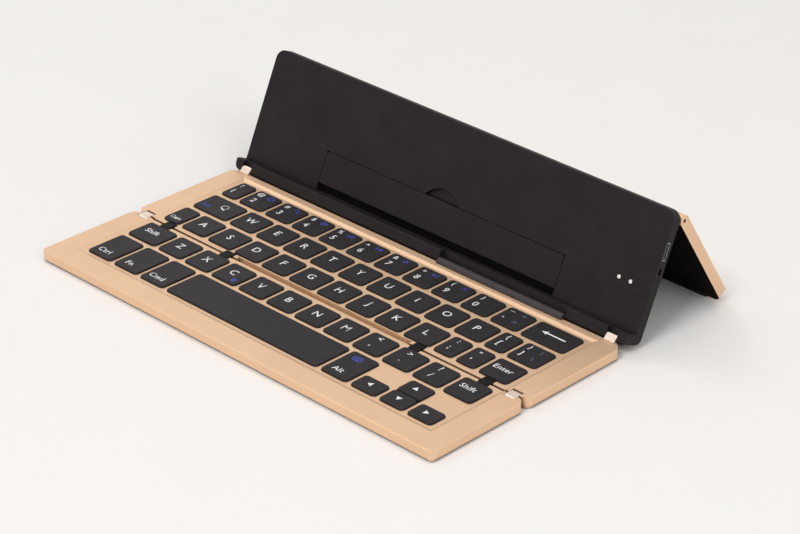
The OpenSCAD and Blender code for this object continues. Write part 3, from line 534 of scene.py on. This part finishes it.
class Mark(Enum):
    """Small drawn marks, each a list of lines over a square two units wide."""

    PANE = ((True, ((-1, -0.8), (1, -0.8), (1, 0.8), (-1, 0.8))),)
    GLASS = ((True, tuple(arc((-0.2, 0.2), 0.7, 0, 315, 7))), (False, ((0.3, -0.3), (1, -1))))
    LETTER = ((True, ((-1, -0.7), (1, -0.7), (1, 0.7), (-1, 0.7))),
              (False, ((-1, 0.7), (0, -0.1), (1, 0.7))))
    BARS = ((False, ((-0.8, -0.8), (-0.8, 0.1))), (False, ((0, -0.8), (0, 0.5))),
            (False, ((0.8, -0.8), (0.8, 0.9))))
    BACK = ((True, ((0, 0), (1, 0.7), (1, -0.7))), (False, ((-0.7, 0.7), (-0.7, -0.7))))
    PLAY = ((True, ((-0.8, 0.8), (-0.8, -0.8), (0.6, 0))),)
    NEXT = ((True, ((0, 0), (-1, 0.7), (-1, -0.7))), (False, ((0.7, 0.7), (0.7, -0.7))))
    RING = ((True, tuple(arc((0, 0), 0.8, 0, 324, 9))), (False, ((0, 0.1), (0, 1))))
    KEYS = ((True, ((-1.1, -0.7), (1.1, -0.7), (1.1, 0.7), (-1.1, 0.7))),
            (False, ((-0.7, 0.2), (0.7, 0.2))), (False, ((-0.5, -0.3), (0.5, -0.3))))
    DIAMOND = ((True, ((0, -1), (0.8, 0), (0, 1), (-0.8, 0))), (False, ((0, -0.4), (0, 0.4))))


@dataclass(frozen=True)
class Legend:
    """One printed legend on a key.

    Attributes:
        what: A word, a drawn mark or the corners of a filled shape.
        x: Place right of the key's centre in millimetres.
        y: Place behind the key's centre in millimetres.
        size: Font size, or half width of a mark, in millimetres.
        ink: The ink.
    """

    what: str | Mark | tuple[Point, ...]
    x: float = 0.0
    y: float = 0.0
    size: float = 5.3
    ink: Ink = Ink.WHITE

    print_t = 0.02
    line_w = 0.42
    stroke_grow = 0.05
    spacing = 1.06
    stop_drop = 0.8

    def add_to(self, bm: bmesh.types.BMesh, centre: Vector) -> None:
        """Adds the legend's shape to a mesh.

        Args:
            bm: The mesh.
            centre: Centre of the key's top, in metres.
        """
        if isinstance(self.what, str):
            self._add_word(bm, centre)
        elif isinstance(self.what, Mark):
            self._add_mark(bm, centre)
        else:
            self._add_shape(bm, centre, [(x, y) for x, y in self.what])

    def _add_word(self, bm: bmesh.types.BMesh, centre: Vector) -> None:
        """Adds a word in the built-in font.

        Args:
            bm: The mesh.
            centre: Centre of the key's top, in metres.
        """
        curve = bpy.data.curves.new("word", "FONT")
        curve.body = self.what
        curve.size = self.size
        curve.offset = self.stroke_grow
        curve.space_character = self.spacing
        curve.resolution_u = 3
        curve.align_x = "CENTER"
        curve.align_y = "CENTER"
        word = bpy.data.objects.new("word", curve)
        mesh = bpy.data.meshes.new_from_object(word)
        xs = [v.co.x for v in mesh.vertices]
        ys = [v.co.y for v in mesh.vertices]
        middle = Vector(((min(xs) + max(xs)) / 2, (min(ys) + max(ys)) / 2, 0))
        drop = self.stop_drop if self.what in {",", "."} else 0
        shift = Vector((self.x, self.y - drop, 0)) - middle
        start = len(bm.verts)
        bm.from_mesh(mesh)
        bm.verts.ensure_lookup_table()
        for vertex in bm.verts[start:]:
            vertex.co = centre + (vertex.co + shift) * MM
        bpy.data.objects.remove(word)
        bpy.data.curves.remove(curve)
        bpy.data.meshes.remove(mesh)

    def _add_mark(self, bm: bmesh.types.BMesh, centre: Vector) -> None:
        """Adds a drawn mark, line by line.

        Args:
            bm: The mesh.
            centre: Centre of the key's top, in metres.
        """
        for closed, points in self.what.value:
            ends = list(points) + ([points[0]] if closed else [])
            for a, b in zip(ends, ends[1:]):
                self._add_line(bm, centre, Vector(a) * self.size, Vector(b) * self.size)

    def _add_line(self, bm: bmesh.types.BMesh, centre: Vector, a: Vector, b: Vector) -> None:
        """Adds one straight line of the mark as a thin bar.

        Args:
            bm: The mesh.
            centre: Centre of the key's top, in metres.
            a: One end of the line in millimetres.
            b: The other end.
        """
        along = (b - a).normalized() * self.line_w / 2
        side = Vector((-along.y, along.x))
        self._add_shape(bm, centre, [tuple(p) for p in (a - along - side, b + along - side,
                                                        b + along + side, a - along + side)])

    def _add_shape(self, bm: bmesh.types.BMesh, centre: Vector, points: list[Point]) -> None:
        """Adds one filled shape.

        Args:
            bm: The mesh.
            centre: Centre of the key's top, in metres.
            points: Corners of the shape in millimetres.
        """
        place = [centre + Vector((x + self.x, y + self.y, 0)) * MM for x, y in points]
        bm.faces.new([bm.verts.new(p) for p in place])


def letters(text: str, x: float = -0.7, y: float = 0.7) -> list[list[Legend]]:
    """One key for each letter, with the letter near its middle."""
    return [[Legend(letter, x, y)] for letter in text]


def pair(upper: str, lower: str, x: float = -1.0, y_up: float = 4.0,
         y_down: float = -1.9) -> list[Legend]:
    """A key with one sign over another."""
    return [Legend(upper, x, y_up, 4.4), Legend(lower, x, y_down, 4.6)]


def arrow(turn: float) -> list[Legend]:
    """A key with a filled arrow head.

    Args:
        turn: Turn of the head in degrees; nought points right.

    Returns:
        The key's legends.
    """
    c, s = math.cos(math.radians(turn)), math.sin(math.radians(turn))
    head = ((1.25, 0), (-0.95, 1.35), (-0.95, -1.35))
    return [Legend(tuple((x * c - y * s, x * s + y * c) for x, y in head), -0.5, 0.5)]


def digit_legends() -> list[list[Legend]]:
    """The keys 2 to 0, each with its sign and most with a blue mark.

    Returns:
        For each key, its legends.
    """
    marks = [Mark.PANE, Mark.GLASS, Mark.LETTER, Mark.BARS, Mark.BACK, Mark.PLAY, Mark.NEXT,
             Mark.RING, None]
    found = []
    for digit, sign, mark in zip("234567890", "@#$%^&*()", marks):
        key = [Legend(digit, -2.6, -1.7, 4.9), Legend(sign, -3.6, 4.0, 3.6)]
        if mark is not None:
            key.append(Legend(mark, 2.3, 3.9, 1.45, Ink.BLUE))
        found.append(key)
    return found


def four(upper: str, lower: str, faint_upper: str, faint_lower: str) -> list[Legend]:
    """A key with two white signs on the left and two faint ones on the right.

    Args:
        upper: Upper white sign.
        lower: Lower white sign.
        faint_upper: Upper faint sign.
        faint_lower: Lower faint sign.

    Returns:
        The key's legends.
    """
    return [Legend(upper, -4.0, 4.2, 3.8), Legend(lower, -4.0, -1.7, 4.0),
            Legend(faint_upper, 2.1, 4.2, 3.8, Ink.FAINT),
            Legend(faint_lower, 2.2, -2.0, 4.0, Ink.FAINT)]


BACK_ARROW = ((-6.0, 0.0), (-3.2, 1.25), (-3.2, 0.4), (6.0, 0.4), (6.0, -0.4), (-3.2, -0.4),
              (-3.2, -1.25))
WORD = 4.1
SMALL_WORD = 2.9


def key_legends() -> dict[str, list[list[Legend]]]:
    """The legends of every key, by CAD node and from left to right.

    Returns:
        For each node, one list of legends for each of its keys.
    """
    return {
        "one_key": [[Legend("1", -1.9, -1.6, 4.8), Legend("!", -2.2, 4.0, 3.8)]],
        "digit_keys": digit_legends(),
        "minus_key": [four("_", "-", "+", "=")],
        "backspace_key": [[Legend(BACK_ARROW, 0.2, 0.6)]],
        "q_key": [[Legend("Q", 1.8, 0.8), Legend("Tab", -6.0, -2.6, SMALL_WORD, Ink.BLUE)]],
        "top_letter_keys": letters("WERTYUIOP"),
        "left_bracket_key": [pair("{", "[")],
        "right_bracket_key": [four("}", "]", "|", "\\")],
        "caps_key": [[Legend("Caps", -0.4, -3.4, SMALL_WORD)]],
        "home_letter_keys": letters("ASDFGHJKL"),
        "semicolon_key": [pair(":", ";", -0.8)],
        "quote_key": [pair('"', "'", -0.8)],
        "enter_key": [[Legend("Enter", -0.6, 1.0, WORD)]],
        "left_shift_key": [[Legend("Shift", -1.0, 1.0, WORD)]],
        "lower_letter_keys": letters("ZX")
        + [[Legend("C", -0.7, 0.7), Legend(Mark.DIAMOND, 3.9, -3.9, 1.5, Ink.BLUE)]]
        + letters("VBNM")
        + [pair("<", ",", -1.2), pair(">", ".", -1.2), pair("?", "/", -1.2)],
        "right_shift_key": [[Legend("Shift", -0.8, 1.2, WORD)]],
        "control_key": [[Legend("Ctrl", -1.0, -4.9, WORD)]],
        "function_key": [[Legend("Fn", -1.6, -4.9, WORD)]],
        "command_key": [[Legend("Cmd", -1.0, -4.9, WORD)]],
        "space_key": [[]],
        "alt_key": [[Legend("Alt", -1.3, -4.9, WORD), Legend(Mark.KEYS, -1.2, 5.4, 1.9, Ink.BLUE)]],
        "left_arrow_key": [arrow(180)],
        "up_arrow_key": [arrow(90)],
        "down_arrow_key": [arrow(270)],
        "right_arrow_key": [arrow(0)],
    }


@dataclass(frozen=True)
class Island:
    """One separate solid of a CAD node, as its box in metres."""

    low: Vector
    high: Vector


def islands(node: str, turn: Matrix | None = None) -> list[Island]:
    """Finds the separate solids of a CAD node.

    Args:
        node: The CAD node.
        turn: Turn of the directions that the boxes follow, if they aren't the row frame's.

    Returns:
        Their boxes, from left to right.
    """
    bm = bmesh.new()
    bm.from_mesh(frame["nodes"][node].data)
    if turn is not None:
        bmesh.ops.transform(bm, matrix=turn.to_4x4(), verts=bm.verts)
    weld(bm)
    left = set(bm.verts)
    found = []
    while left:
        group = {left.pop()}
        queue = list(group)
        while queue:
            for edge in queue.pop().link_edges:
                for vertex in edge.verts:
                    if vertex in left:
                        left.discard(vertex)
                        group.add(vertex)
                        queue.append(vertex)
        spots = [v.co for v in group]
        found.append(Island(Vector(min(p[i] for p in spots) for i in range(3)),
                            Vector(max(p[i] for p in spots) for i in range(3))))
    bm.free()
    return sorted(found, key=lambda box: box.low.x)


@dataclass
class Keyboard:
    """The keys of both panels, with their printed legends.

    Attributes:
        cap_t: Thickness of a key cap.
        cap_r: Corner radius of a cap.
        skirt: Width of the softened edge round a cap's underside.
        edge: Width of the softened edge round a cap's top.
        edge_steps: Facets across that edge.
        least_r: Smallest corner radius that the edges leave.
        dish: Depth of the hollow in a cap's top.
        dish_in: Distances from that edge at which the hollow starts and is full.
        plunger_r: Radius of the plunger under a cap.
        plunger_edge: Width of the softened edge of a plunger's end.
        plunger_sink: How far a plunger reaches into its cap.
        plunger_pitch: Distance between the plungers of the space key.
        wide_key: Length past which a key has three plungers.
        print_lift: Height of the print over the cap.
    """

    cap_t: float = 1.3
    cap_r: float = 1.6
    skirt: float = 0.12
    edge: float = 0.32
    edge_steps: int = 4
    least_r: float = 0.35
    dish: float = 0.06
    dish_in: Point = (0.5, 1.5)
    plunger_r: float = 1.1
    plunger_edge: float = 0.15
    plunger_sink: float = 0.05
    plunger_pitch: float = 28.0
    wide_key: float = 60.0
    print_lift: float = 0.012

    def build(self) -> None:
        """Makes the caps and legends of every key node."""
        for node, legends in key_legends().items():
            keys = islands(node)
            self._caps(node, keys)
            for ink in Ink:
                self._print(node, keys, legends, ink)

    def _caps(self, node: str, keys: Sequence[Island]) -> None:
        """Makes the caps of one node.

        Args:
            node: The CAD node.
            keys: The boxes of its keys.
        """
        bm = bmesh.new()
        for key in keys:
            self._cap(bm, key)
            self._plungers(bm, key)
        bmesh.ops.recalc_face_normals(bm, faces=bm.faces)
        shade_by_angle(bm, ROUND_SHADE)
        caps = add_object(finished(bm, node + "_caps"), node, KEY_PLASTIC)
        even_shading(caps)
        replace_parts(caps, node)

    def _cap(self, bm: bmesh.types.BMesh, key: Island) -> None:
        """Adds one cap: straight sides, a rounded top edge and a faintly hollow top.

        Args:
            bm: The mesh.
            key: The key's box.
        """
        middle = (key.low + key.high) / 2
        half = (key.high - key.low) / (2 * MM)
        rings = [(self.skirt, -self.cap_t), (0.0, self.skirt - self.cap_t), (0.0, -self.edge)]
        for i in range(1, self.edge_steps + 1):
            turn = math.radians(90 * i / self.edge_steps)
            rings.append((self.edge * (1 - math.cos(turn)), self.edge * (math.sin(turn) - 1)))
        rings.append((self.edge + self.dish_in[0], 0.0))
        rings.append((self.edge + self.dish_in[1], -self.dish))
        loops = []
        for inset, z in rings:
            radius = max(self.cap_r - inset, self.least_r)
            outline = rounded(half.x - inset, half.y - inset, radius)
            loops.append([bm.verts.new(Vector((middle.x + x * MM, middle.y + y * MM,
                                               key.high.z + z * MM))) for x, y in outline])
        bridge_rings(bm, loops)

    def _plungers(self, bm: bmesh.types.BMesh, key: Island) -> None:
        """Adds the plungers under a cap: one, or three on the space key.

        Args:
            bm: The mesh.
            key: The key's box.
        """
        middle = (key.low + key.high) / 2
        wide = key.high.x - key.low.x > self.wide_key * MM
        offsets = (-self.plunger_pitch, 0, self.plunger_pitch) if wide else (0,)
        top = key.high.z - (self.cap_t - self.plunger_sink) * MM
        profile = ((key.low.z, self.plunger_r - self.plunger_edge),
                   (key.low.z + self.plunger_edge * MM, self.plunger_r), (top, self.plunger_r))
        for dx in offsets:
            rings = []
            for z, r in profile:
                outline = arc((middle.x + dx * MM, middle.y), r * MM, 0, 345, 23)
                rings.append([bm.verts.new((x, y, z)) for x, y in outline])
            bridge_rings(bm, rings)

    def _print(self, node: str, keys: Sequence[Island], legends: Sequence[Iterable[Legend]],
               ink: Ink) -> None:
        """Prints the legends of one node in one ink.

        Args:
            node: The CAD node.
            keys: The boxes of its keys.
            legends: The legends of each key.
            ink: The ink to print.
        """
        bm = bmesh.new()
        for key, row in zip(keys, legends, strict=True):
            centre = (key.low + key.high) / 2
            centre.z = key.high.z + (self.print_lift - self.dish) * MM
            for legend in row:
                if legend.ink is ink:
                    legend.add_to(bm, centre)
        if not bm.faces:
            bm.free()
            return
        thicken(bm, Vector((0, 0, Legend.print_t * MM)))
        add_object(finished(bm, f"{node}_{ink.value}_print"), node, ink.finish())


# ---------------------------------------------------------------------------
# Screws
# ---------------------------------------------------------------------------


@dataclass
class Screws:
    """Small pan-head screws with a cross recess, one for each solid of a CAD node.

    Attributes:
        node: The CAD node.
        axis: Direction from a screw's head to its tip.
        head_h: Height of the head.
        head_edge: Width of the softened edge of the head.
        shank_r: Radius of the shank.
        tip: Length of the tapered tip.
        arm: Half length of the cross recess.
        arm_w: Half width of an arm of the recess.
        recess: Depth of the recess.
        recess_end: Size of the recess at its floor, as a share of that at the head.
        steps: Facets round the screw.
    """

    node: str
    axis: Vector
    head_h: float = 0.5
    head_edge: float = 0.12
    shank_r: float = 0.68
    tip: float = 0.35
    arm: float = 0.8
    arm_w: float = 0.2
    recess: float = 0.32
    recess_end: float = 0.6
    steps: int = 24

    shade_angle = 35

    def build(self) -> None:
        """Makes all the screws of the node as one piece."""
        bm = bmesh.new()
        turn = Vector((0, 0, 1)).rotation_difference(self.axis).to_matrix()
        back = turn.transposed()
        for solid in islands(self.node, back):
            self._screw(bm, solid)
        bmesh.ops.transform(bm, matrix=turn.to_4x4(), verts=bm.verts)
        bmesh.ops.recalc_face_normals(bm, faces=bm.faces)
        shade_by_angle(bm, self.shade_angle)
        body = frame["nodes"][self.node]["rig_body"]
        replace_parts(add_object(finished(bm, self.node + "_shown"), body, STEEL), self.node)

    def _screw(self, bm: bmesh.types.BMesh, solid: Island) -> None:
        """Adds one screw, with its head at the low end of its box.

        Args:
            bm: The mesh.
            solid: The screw's box, with z from its head to its tip.
        """
        middle = (solid.low + solid.high) / 2
        head_r = (solid.high.x - solid.low.x) / (2 * MM)
        length = (solid.high.z - solid.low.z) / MM
        profile = [(head_r - self.head_edge, 0.0), (head_r, self.head_edge),
                   (head_r, self.head_h), (self.shank_r, self.head_h),
                   (self.shank_r, length - self.tip), (self.shank_r / 3, length)]
        angles = [2 * math.pi * i / self.steps for i in range(self.steps)]
        mouth = [self._cross(a) for a in angles]
        rings = [[radius * self.recess_end for radius in mouth], mouth]
        heights = [self.recess, 0.0]
        for radius, height in profile:
            rings.append([radius] * self.steps)
            heights.append(height)
        loops = []
        for radii, height in zip(rings, heights):
            loops.append([bm.verts.new((middle.x + r * math.cos(a) * MM,
                                        middle.y + r * math.sin(a) * MM,
                                        solid.low.z + height * MM))
                          for r, a in zip(radii, angles)])
        bridge_rings(bm, loops)

    def _cross(self, angle: float) -> float:
        """Distance from the centre to the cross's outline.

        Args:
            angle: Direction in radians.

        Returns:
            The distance in millimetres.
        """
        near, far = sorted((abs(math.cos(angle)), abs(math.sin(angle))))
        return min(self.arm / far, self.arm_w / near if near > 1e-6 else math.inf)


# ---------------------------------------------------------------------------
# Panels, links and stand
# ---------------------------------------------------------------------------


@dataclass
class KeyPanel:
    """One key panel: the gold frame, the black base and what is fixed to them.

    Attributes:
        side: Prefix of its CAD nodes.
        edge: Softening of the gold frame.
        base_edge: Softening of the base plate.
        foot_edge: Softening of the rubber feet.
    """

    side: str
    edge: Softening = field(default_factory=lambda: Softening(0.1, 2, 16))
    base_edge: Softening = field(default_factory=lambda: Softening(0.12, 2))
    foot_edge: Softening = field(default_factory=lambda: Softening(0.25, 3, 60))

    def build(self) -> None:
        """Makes the panel's shown pieces and dresses its other nodes."""
        self.edge.piece(f"{self.side}_frame", SATIN_GOLD)
        self.base_edge.piece(f"{self.side}_base", BLACK_PLASTIC)
        self.foot_edge.piece(f"{self.side}_feet", RUBBER)
        dress(f"{self.side}_key_board", BOARD)
        dress(f"{self.side}_dome_sheet", SILICONE)
        Screws(f"{self.side}_screws", Vector((0, 0, 1))).build()
        dress(f"{self.side}_fold_pins", STEEL)


@dataclass
class Links:
    """The fold links, the stand's hinge tabs and the cable guard.

    Attributes:
        edge: Softening of the links and tabs.
    """

    edge: Softening = field(default_factory=lambda: Softening(0.15, 3, 40))

    def build(self) -> None:
        """Makes the links, tabs and guard."""
        self.edge.piece("end_links", HIGHLIT_GOLD_METAL)
        self.edge.piece("inner_links", LINK_BLACK)
        self.edge.piece("hinge_tabs", HIGHLIT_GOLD_METAL)
        self.edge.piece("cable_guard", GUARD_GREY)


@dataclass(frozen=True)
class StandSlope:
    """The stand's own directions: across, up its face and out of its face.

    Attributes:
        lean: Angle between the stand and the table in degrees.
    """

    lean: float = 66.5

    def turn(self) -> Matrix:
        """The turn from the stand's directions to the row frame's."""
        return Matrix.Rotation(math.radians(self.lean), 3, "X")

    def box(self, node: str) -> Island:
        """Finds a CAD node's box along the stand's directions.

        Args:
            node: The CAD node.

        Returns:
            The box, in metres.
        """
        back = self.turn().transposed()
        spots = [back @ v.co for v in frame["nodes"][node].data.vertices]
        return Island(Vector(min(p[i] for p in spots) for i in range(3)),
                      Vector(max(p[i] for p in spots) for i in range(3)))

    def slab(self, name: str, low: Vector, high: Vector, bevel: float) -> bpy.types.Mesh:
        """Makes a thin slab with softened edges, square to the stand.

        Args:
            name: Name of the mesh.
            low: Its low corner along the stand's directions, in metres.
            high: Its high corner.
            bevel: Width of its softened edges in millimetres.

        Returns:
            The mesh, in the row frame.
        """
        bm = bmesh.new()
        outline = [(low.x, low.y), (high.x, low.y), (high.x, high.y), (low.x, high.y)]
        bridge_rings(bm, [[bm.verts.new((x, y, z)) for x, y in outline]
                          for z in (low.z, high.z)])
        bmesh.ops.bevel(bm, geom=list(bm.edges), offset=bevel * MM, segments=2,
                        profile=EDGE_PROFILE, affect="EDGES", clamp_overlap=True)
        bmesh.ops.transform(bm, matrix=self.turn().to_4x4(), verts=bm.verts)
        shade_by_angle(bm, ROUND_SHADE)
        return finished(bm, name)


@dataclass
class Stand:
    """The black stand with its back cover, rest flap, switch and port.

    Attributes:
        slope: The stand's directions.
        edge: Softening of the large shells.
        flap_edge: Softening of the rest flap.
        shade_sheet_lift: How far the near-black sheet of painted shade lies in front of the
            recess's floor.
        shade_sheet_over: How far that sheet reaches past the flap's top.
        shade_sheet_edge: Width of that sheet's softened edge.
        slot_h: Height of the open slot below the flap.
        recess_side: Gap between the flap's ends and the recess.
        recess_room: Gap between the shut flap and the recess's floor.
        tongue_inset: Distance of the port's tongue from the port's ends.
        tongue_t: Thickness of the port's tongue.
        tongue_x: Distances of the tongue from the port's inner end and from its mouth.
        tongue_edge: Width of the tongue's softened edge.
    """

    slope: StandSlope = field(default_factory=StandSlope)
    edge: Softening = field(default_factory=lambda: Softening(0.22, 3))
    flap_edge: Softening = field(default_factory=lambda: Softening(0.12, 2))
    shade_sheet_lift: float = 0.03
    shade_sheet_over: float = 0.2
    shade_sheet_edge: float = 0.01
    slot_h: float = 2.95
    recess_side: float = 0.28
    recess_room: float = 0.15
    tongue_inset: float = 1.7
    tongue_t: float = 0.6
    tongue_x: Point = (0.6, 0.9)
    tongue_edge: float = 0.1

    def build(self) -> None:
        """Makes the stand's shown pieces and dresses the rest."""
        self.edge.piece("stand_front", STAND_BLACK)
        self.edge.piece("stand_back", STAND_BLACK)
        self.flap_edge.piece("rest_flap", STAND_BLACK)
        self.flap_edge.piece("power_switch", BLACK_PLASTIC)
        self.flap_edge.piece("charging_port", STEEL)
        dress("battery", CELL_FOIL)
        dress("main_board", BOARD)
        dress("indicator_lights", LIGHT_PIPE)
        dress("stand_hinge_pins", STEEL)
        Screws("stand_screws", self.slope.turn() @ Vector((0, 0, 1))).build()
        dress("flap_pins", STEEL)
        self._recess_shade_sheet()
        self._port_tongue()

    def _recess_shade_sheet(self) -> None:
        """Lays a near-black sheet in the flap's recess: painted shade, so that the slot below the
        flap shows as a dark gap.
        """
        flap = self.slope.box("rest_flap")
        floor = flap.low.z - self.recess_room * MM
        low = Vector((flap.low.x - self.recess_side * MM, flap.low.y - self.slot_h * MM, floor))
        high = Vector((flap.high.x + self.recess_side * MM,
                       flap.high.y + self.shade_sheet_over * MM, floor + self.shade_sheet_lift * MM))
        # The near-black sheet is painted shade where the recess lies in shadow.
        mesh = self.slope.slab("recess_shade_sheet", low, high, self.shade_sheet_edge)
        add_object(mesh, "stand", SHADE_SHEET_BLACK)

    def _port_tongue(self) -> None:
        """Puts the plastic tongue inside the charging port."""
        port = self.slope.box("charging_port")
        middle = (port.low.z + port.high.z) / 2
        low = Vector((port.low.x + self.tongue_x[0] * MM, port.low.y + self.tongue_inset * MM,
                      middle - self.tongue_t / 2 * MM))
        high = Vector((port.high.x - self.tongue_x[1] * MM, port.high.y - self.tongue_inset * MM,
                       middle + self.tongue_t / 2 * MM))
        mesh = self.slope.slab("port_tongue", low, high, self.tongue_edge)
        add_object(mesh, "stand", BLACK_PLASTIC)


@dataclass
class RearPanel:
    """The gold rear panel with its black liner and rubber foot.

    Attributes:
        edge: Softening of the shell.
        foot_edge: Softening of the rubber strip.
        lean: Angle between the panel and the table in degrees.
        rim_shade_t: Thickness of the black sheet of painted shade on the shell's rim.
        rim_depth: How far a face of the rim may lie below the shell's inner side.
    """

    edge: Softening = field(default_factory=lambda: Softening(0.15, 2))
    foot_edge: Softening = field(default_factory=lambda: Softening(0.15, 2, 60))
    lean: float = 56.0
    rim_shade_t: float = 0.03
    rim_depth: float = 0.02

    def build(self) -> None:
        """Makes the rear panel's shown pieces and dresses the pins."""
        self.edge.piece("rear_shell", SATIN_GOLD)
        self.edge.piece("rear_liner", LINER_BLACK)
        self.foot_edge.piece("rear_foot", RUBBER)
        dress("rear_hinge_pins", STEEL)
        self._rim_shade()

    def _rim_shade(self) -> None:
        """Covers the shell's narrow gold rim with a thin sheet in the liner's black: painted shade,
        as the rim lies in the shadow inside the A-frame.
        """
        tilt = math.radians(self.lean)
        inward = Vector((0, -math.sin(tilt), -math.cos(tilt)))
        bm = bmesh.new()
        bm.from_mesh(frame["nodes"]["rear_shell"].data)
        top = max(v.co.dot(inward) for v in bm.verts) - self.rim_depth * MM
        rest = [f for f in bm.faces if min(v.co.dot(inward) for v in f.verts) < top]
        bmesh.ops.delete(bm, geom=rest, context="FACES")
        weld(bm)
        thicken(bm, inward * self.rim_shade_t * MM)
        # The black rim sheet is painted shade over gold metal.
        add_object(finished(bm, "rear_rim_shade"), "rear_panel", LINER_BLACK)


# ---------------------------------------------------------------------------
# Studio
# ---------------------------------------------------------------------------


@dataclass
class PhotoCamera:
    """The camera of the photograph.

    Attributes:
        azimuth: Turn round the object; nought looks along +y.
        elevation: Height over the table in degrees.
        roll: Tilt of the picture in degrees.
        distance: Distance to the target in millimetres.
        target: Point on the border plane that the camera's axis meets, in millimetres.
        border_z: Height of the border plane over the table.
        focal: Focal length in picture widths.
        shift_x: Sideways shift of the lens.
        shift_y: Upward shift of the lens.
        sensor: Width of the sensor in millimetres.
        near: Distance in metres at which the view starts.
    """

    azimuth: float = 43.381
    elevation: float = 28.251
    roll: float = 1.034
    distance: float = 1075.56
    target: Point = (1.984, 2.743)
    border_z: float = 5.15
    focal: float = 3.3016
    shift_x: float = 0.0138
    shift_y: float = 0.0021
    sensor: float = 36.0
    near: float = 0.05

    def build(self) -> None:
        """Makes the camera and sets it as the scene's."""
        turn, rise = math.radians(self.azimuth), math.radians(self.elevation)
        back = Vector((math.sin(turn) * math.cos(rise), -math.cos(turn) * math.cos(rise),
                       math.sin(rise)))
        right = (-back).cross(Vector((0, 0, 1))).normalized()
        up = right.cross(-back)
        c, s = math.cos(math.radians(self.roll)), math.sin(math.radians(self.roll))
        side, top = c * right + s * up, c * up - s * right
        place = Vector((self.target[0], self.target[1], self.border_z)) + back * self.distance
        data = bpy.data.cameras.new("photo_camera")
        data.sensor_width = self.sensor
        data.lens = self.focal * self.sensor
        data.shift_x = self.shift_x
        data.shift_y = self.shift_y
        data.clip_start = self.near
        camera = bpy.data.objects.new("photo_camera", data)
        bpy.context.scene.collection.objects.link(camera)
        turned = Matrix((side, top, back)).transposed().to_4x4()
        camera.matrix_world = Matrix.Translation(place * MM) @ turned
        bpy.context.scene.camera = camera
        LOG.info("camera at %s", tuple(round(v, 1) for v in place))


@dataclass(frozen=True)
class SoftBox:
    """A large soft lamp.

    Attributes:
        name: Its name.
        place: Where it hangs, in metres.
        size: Its side in metres.
        power: Its power in watts.
        colour: Its colour.
    """

    name: str
    place: tuple[float, float, float]
    size: float
    power: float
    colour: tuple[float, float, float] = (1.0, 0.995, 0.985)

    def build(self) -> None:
        """Hangs the lamp, aimed at the object."""
        data = bpy.data.lights.new(self.name, "AREA")
        data.shape = "SQUARE"
        data.size = self.size
        data.energy = self.power
        data.color = self.colour
        lamp = bpy.data.objects.new(self.name, data)
        bpy.context.scene.collection.objects.link(lamp)
        lamp.location = self.place
        lamp.rotation_euler = (-Vector(self.place)).to_track_quat("-Z", "Y").to_euler()


@dataclass
class Studio:
    """The pale floor, the even sky and the lamps.

    Attributes:
        floor_half: Half width of the floor in metres.
        floor_colour: Display colour of the floor.
        floor_drop: How far the floor lies below the feet, in millimetres.
        sky_colour: Colour of the even light.
        sky_strength: Level of the even light.
        backdrop: Display colour that the camera sees past the floor.
        lamps: The soft lamps.
    """

    floor_half: float = 6.0
    floor_colour: tuple[int, int, int] = (246, 244, 242)
    floor_drop: float = 0.01
    sky_colour: tuple[float, float, float, float] = (1.0, 0.995, 0.99, 1.0)
    sky_strength: float = 0.57
    backdrop: tuple[int, int, int] = (246, 244, 242)
    lamps: tuple[SoftBox, ...] = (SoftBox("key_lamp", (0.3, -1.7, 2.1), 0.9, 28),
                                  SoftBox("side_lamp", (-1.7, 0.35, 2.05), 0.7, 5),
                                  SoftBox("fill_lamp", (2.2, -0.6, 1.5), 1.6, 12))

    def build(self) -> None:
        """Makes the floor, the world and the lamps."""
        bpy.context.scene.view_settings.view_transform = "Standard"
        self._floor()
        self._sky()
        for lamp in self.lamps:
            lamp.build()

    def _floor(self) -> None:
        """Lays the floor."""
        half = self.floor_half
        mesh = bpy.data.meshes.new("floor")
        mesh.from_pydata([(-half, -half, 0), (half, -half, 0), (half, half, 0), (-half, half, 0)],
                         [], [(0, 1, 2, 3)])
        floor = bpy.data.objects.new("floor", mesh)
        floor.location.z = -self.floor_drop * MM
        bpy.context.scene.collection.objects.link(floor)
        paper = Finish("floor_paper", tuple(c - 1 for c in self.floor_colour), self.floor_colour,
                       40, 0.85, 0.95, Grain(0.4, 0.01), 0.0, 0.1)
        mesh.materials.append(paper.material())

    def _sky(self) -> None:
        """Makes the even light, with the backdrop's colour for the camera and for gloss."""
        world = bpy.data.worlds.new("studio_sky")
        bpy.context.scene.world = world
        world.use_nodes = True
        wires = Wiring(world.node_tree)
        light = world.node_tree.nodes["Background"]
        light.inputs["Color"].default_value = self.sky_colour
        light.inputs["Strength"].default_value = self.sky_strength
        seen = wires.node("Background", Color=linear(*self.backdrop))
        ray = wires.node("LightPath").outputs
        mirrored = self._either(wires, ray["Is Glossy Ray"], ray["Is Transmission Ray"])
        mix = wires.node("MixShader", Fac=self._either(wires, ray["Is Camera Ray"], mirrored))
        wires.feed(mix.inputs[1], light.outputs["Background"])
        wires.feed(mix.inputs[2], seen.outputs["Background"])
        wires.feed(world.node_tree.nodes["World Output"].inputs["Surface"],
                   mix.outputs["Shader"])

    @staticmethod
    def _either(wires: Wiring, one: bpy.types.NodeSocket,
                other: bpy.types.NodeSocket) -> bpy.types.NodeSocket:
        """Joins two flags into one that is set where either of them is.

        Args:
            wires: The world's nodes.
            one: The first flag.
            other: The second flag.

        Returns:
            The joined flag.
        """
        larger = wires.node("Math")
        larger.operation = "MAXIMUM"
        wires.feed(larger.inputs[0], one)
        wires.feed(larger.inputs[1], other)
        return larger.outputs["Value"]


def main() -> None:
    """Builds the looks in order and notes the size of the result."""
    logging.basicConfig(level=logging.INFO, format="%(name)s: %(message)s")
    PhotoCamera().build()
    Studio().build()
    KeyPanel("middle").build()
    KeyPanel("front").build()
    Keyboard().build()
    Links().build()
    Stand().build()
    RearPanel().build()


if __name__ == "__main__":
    main()
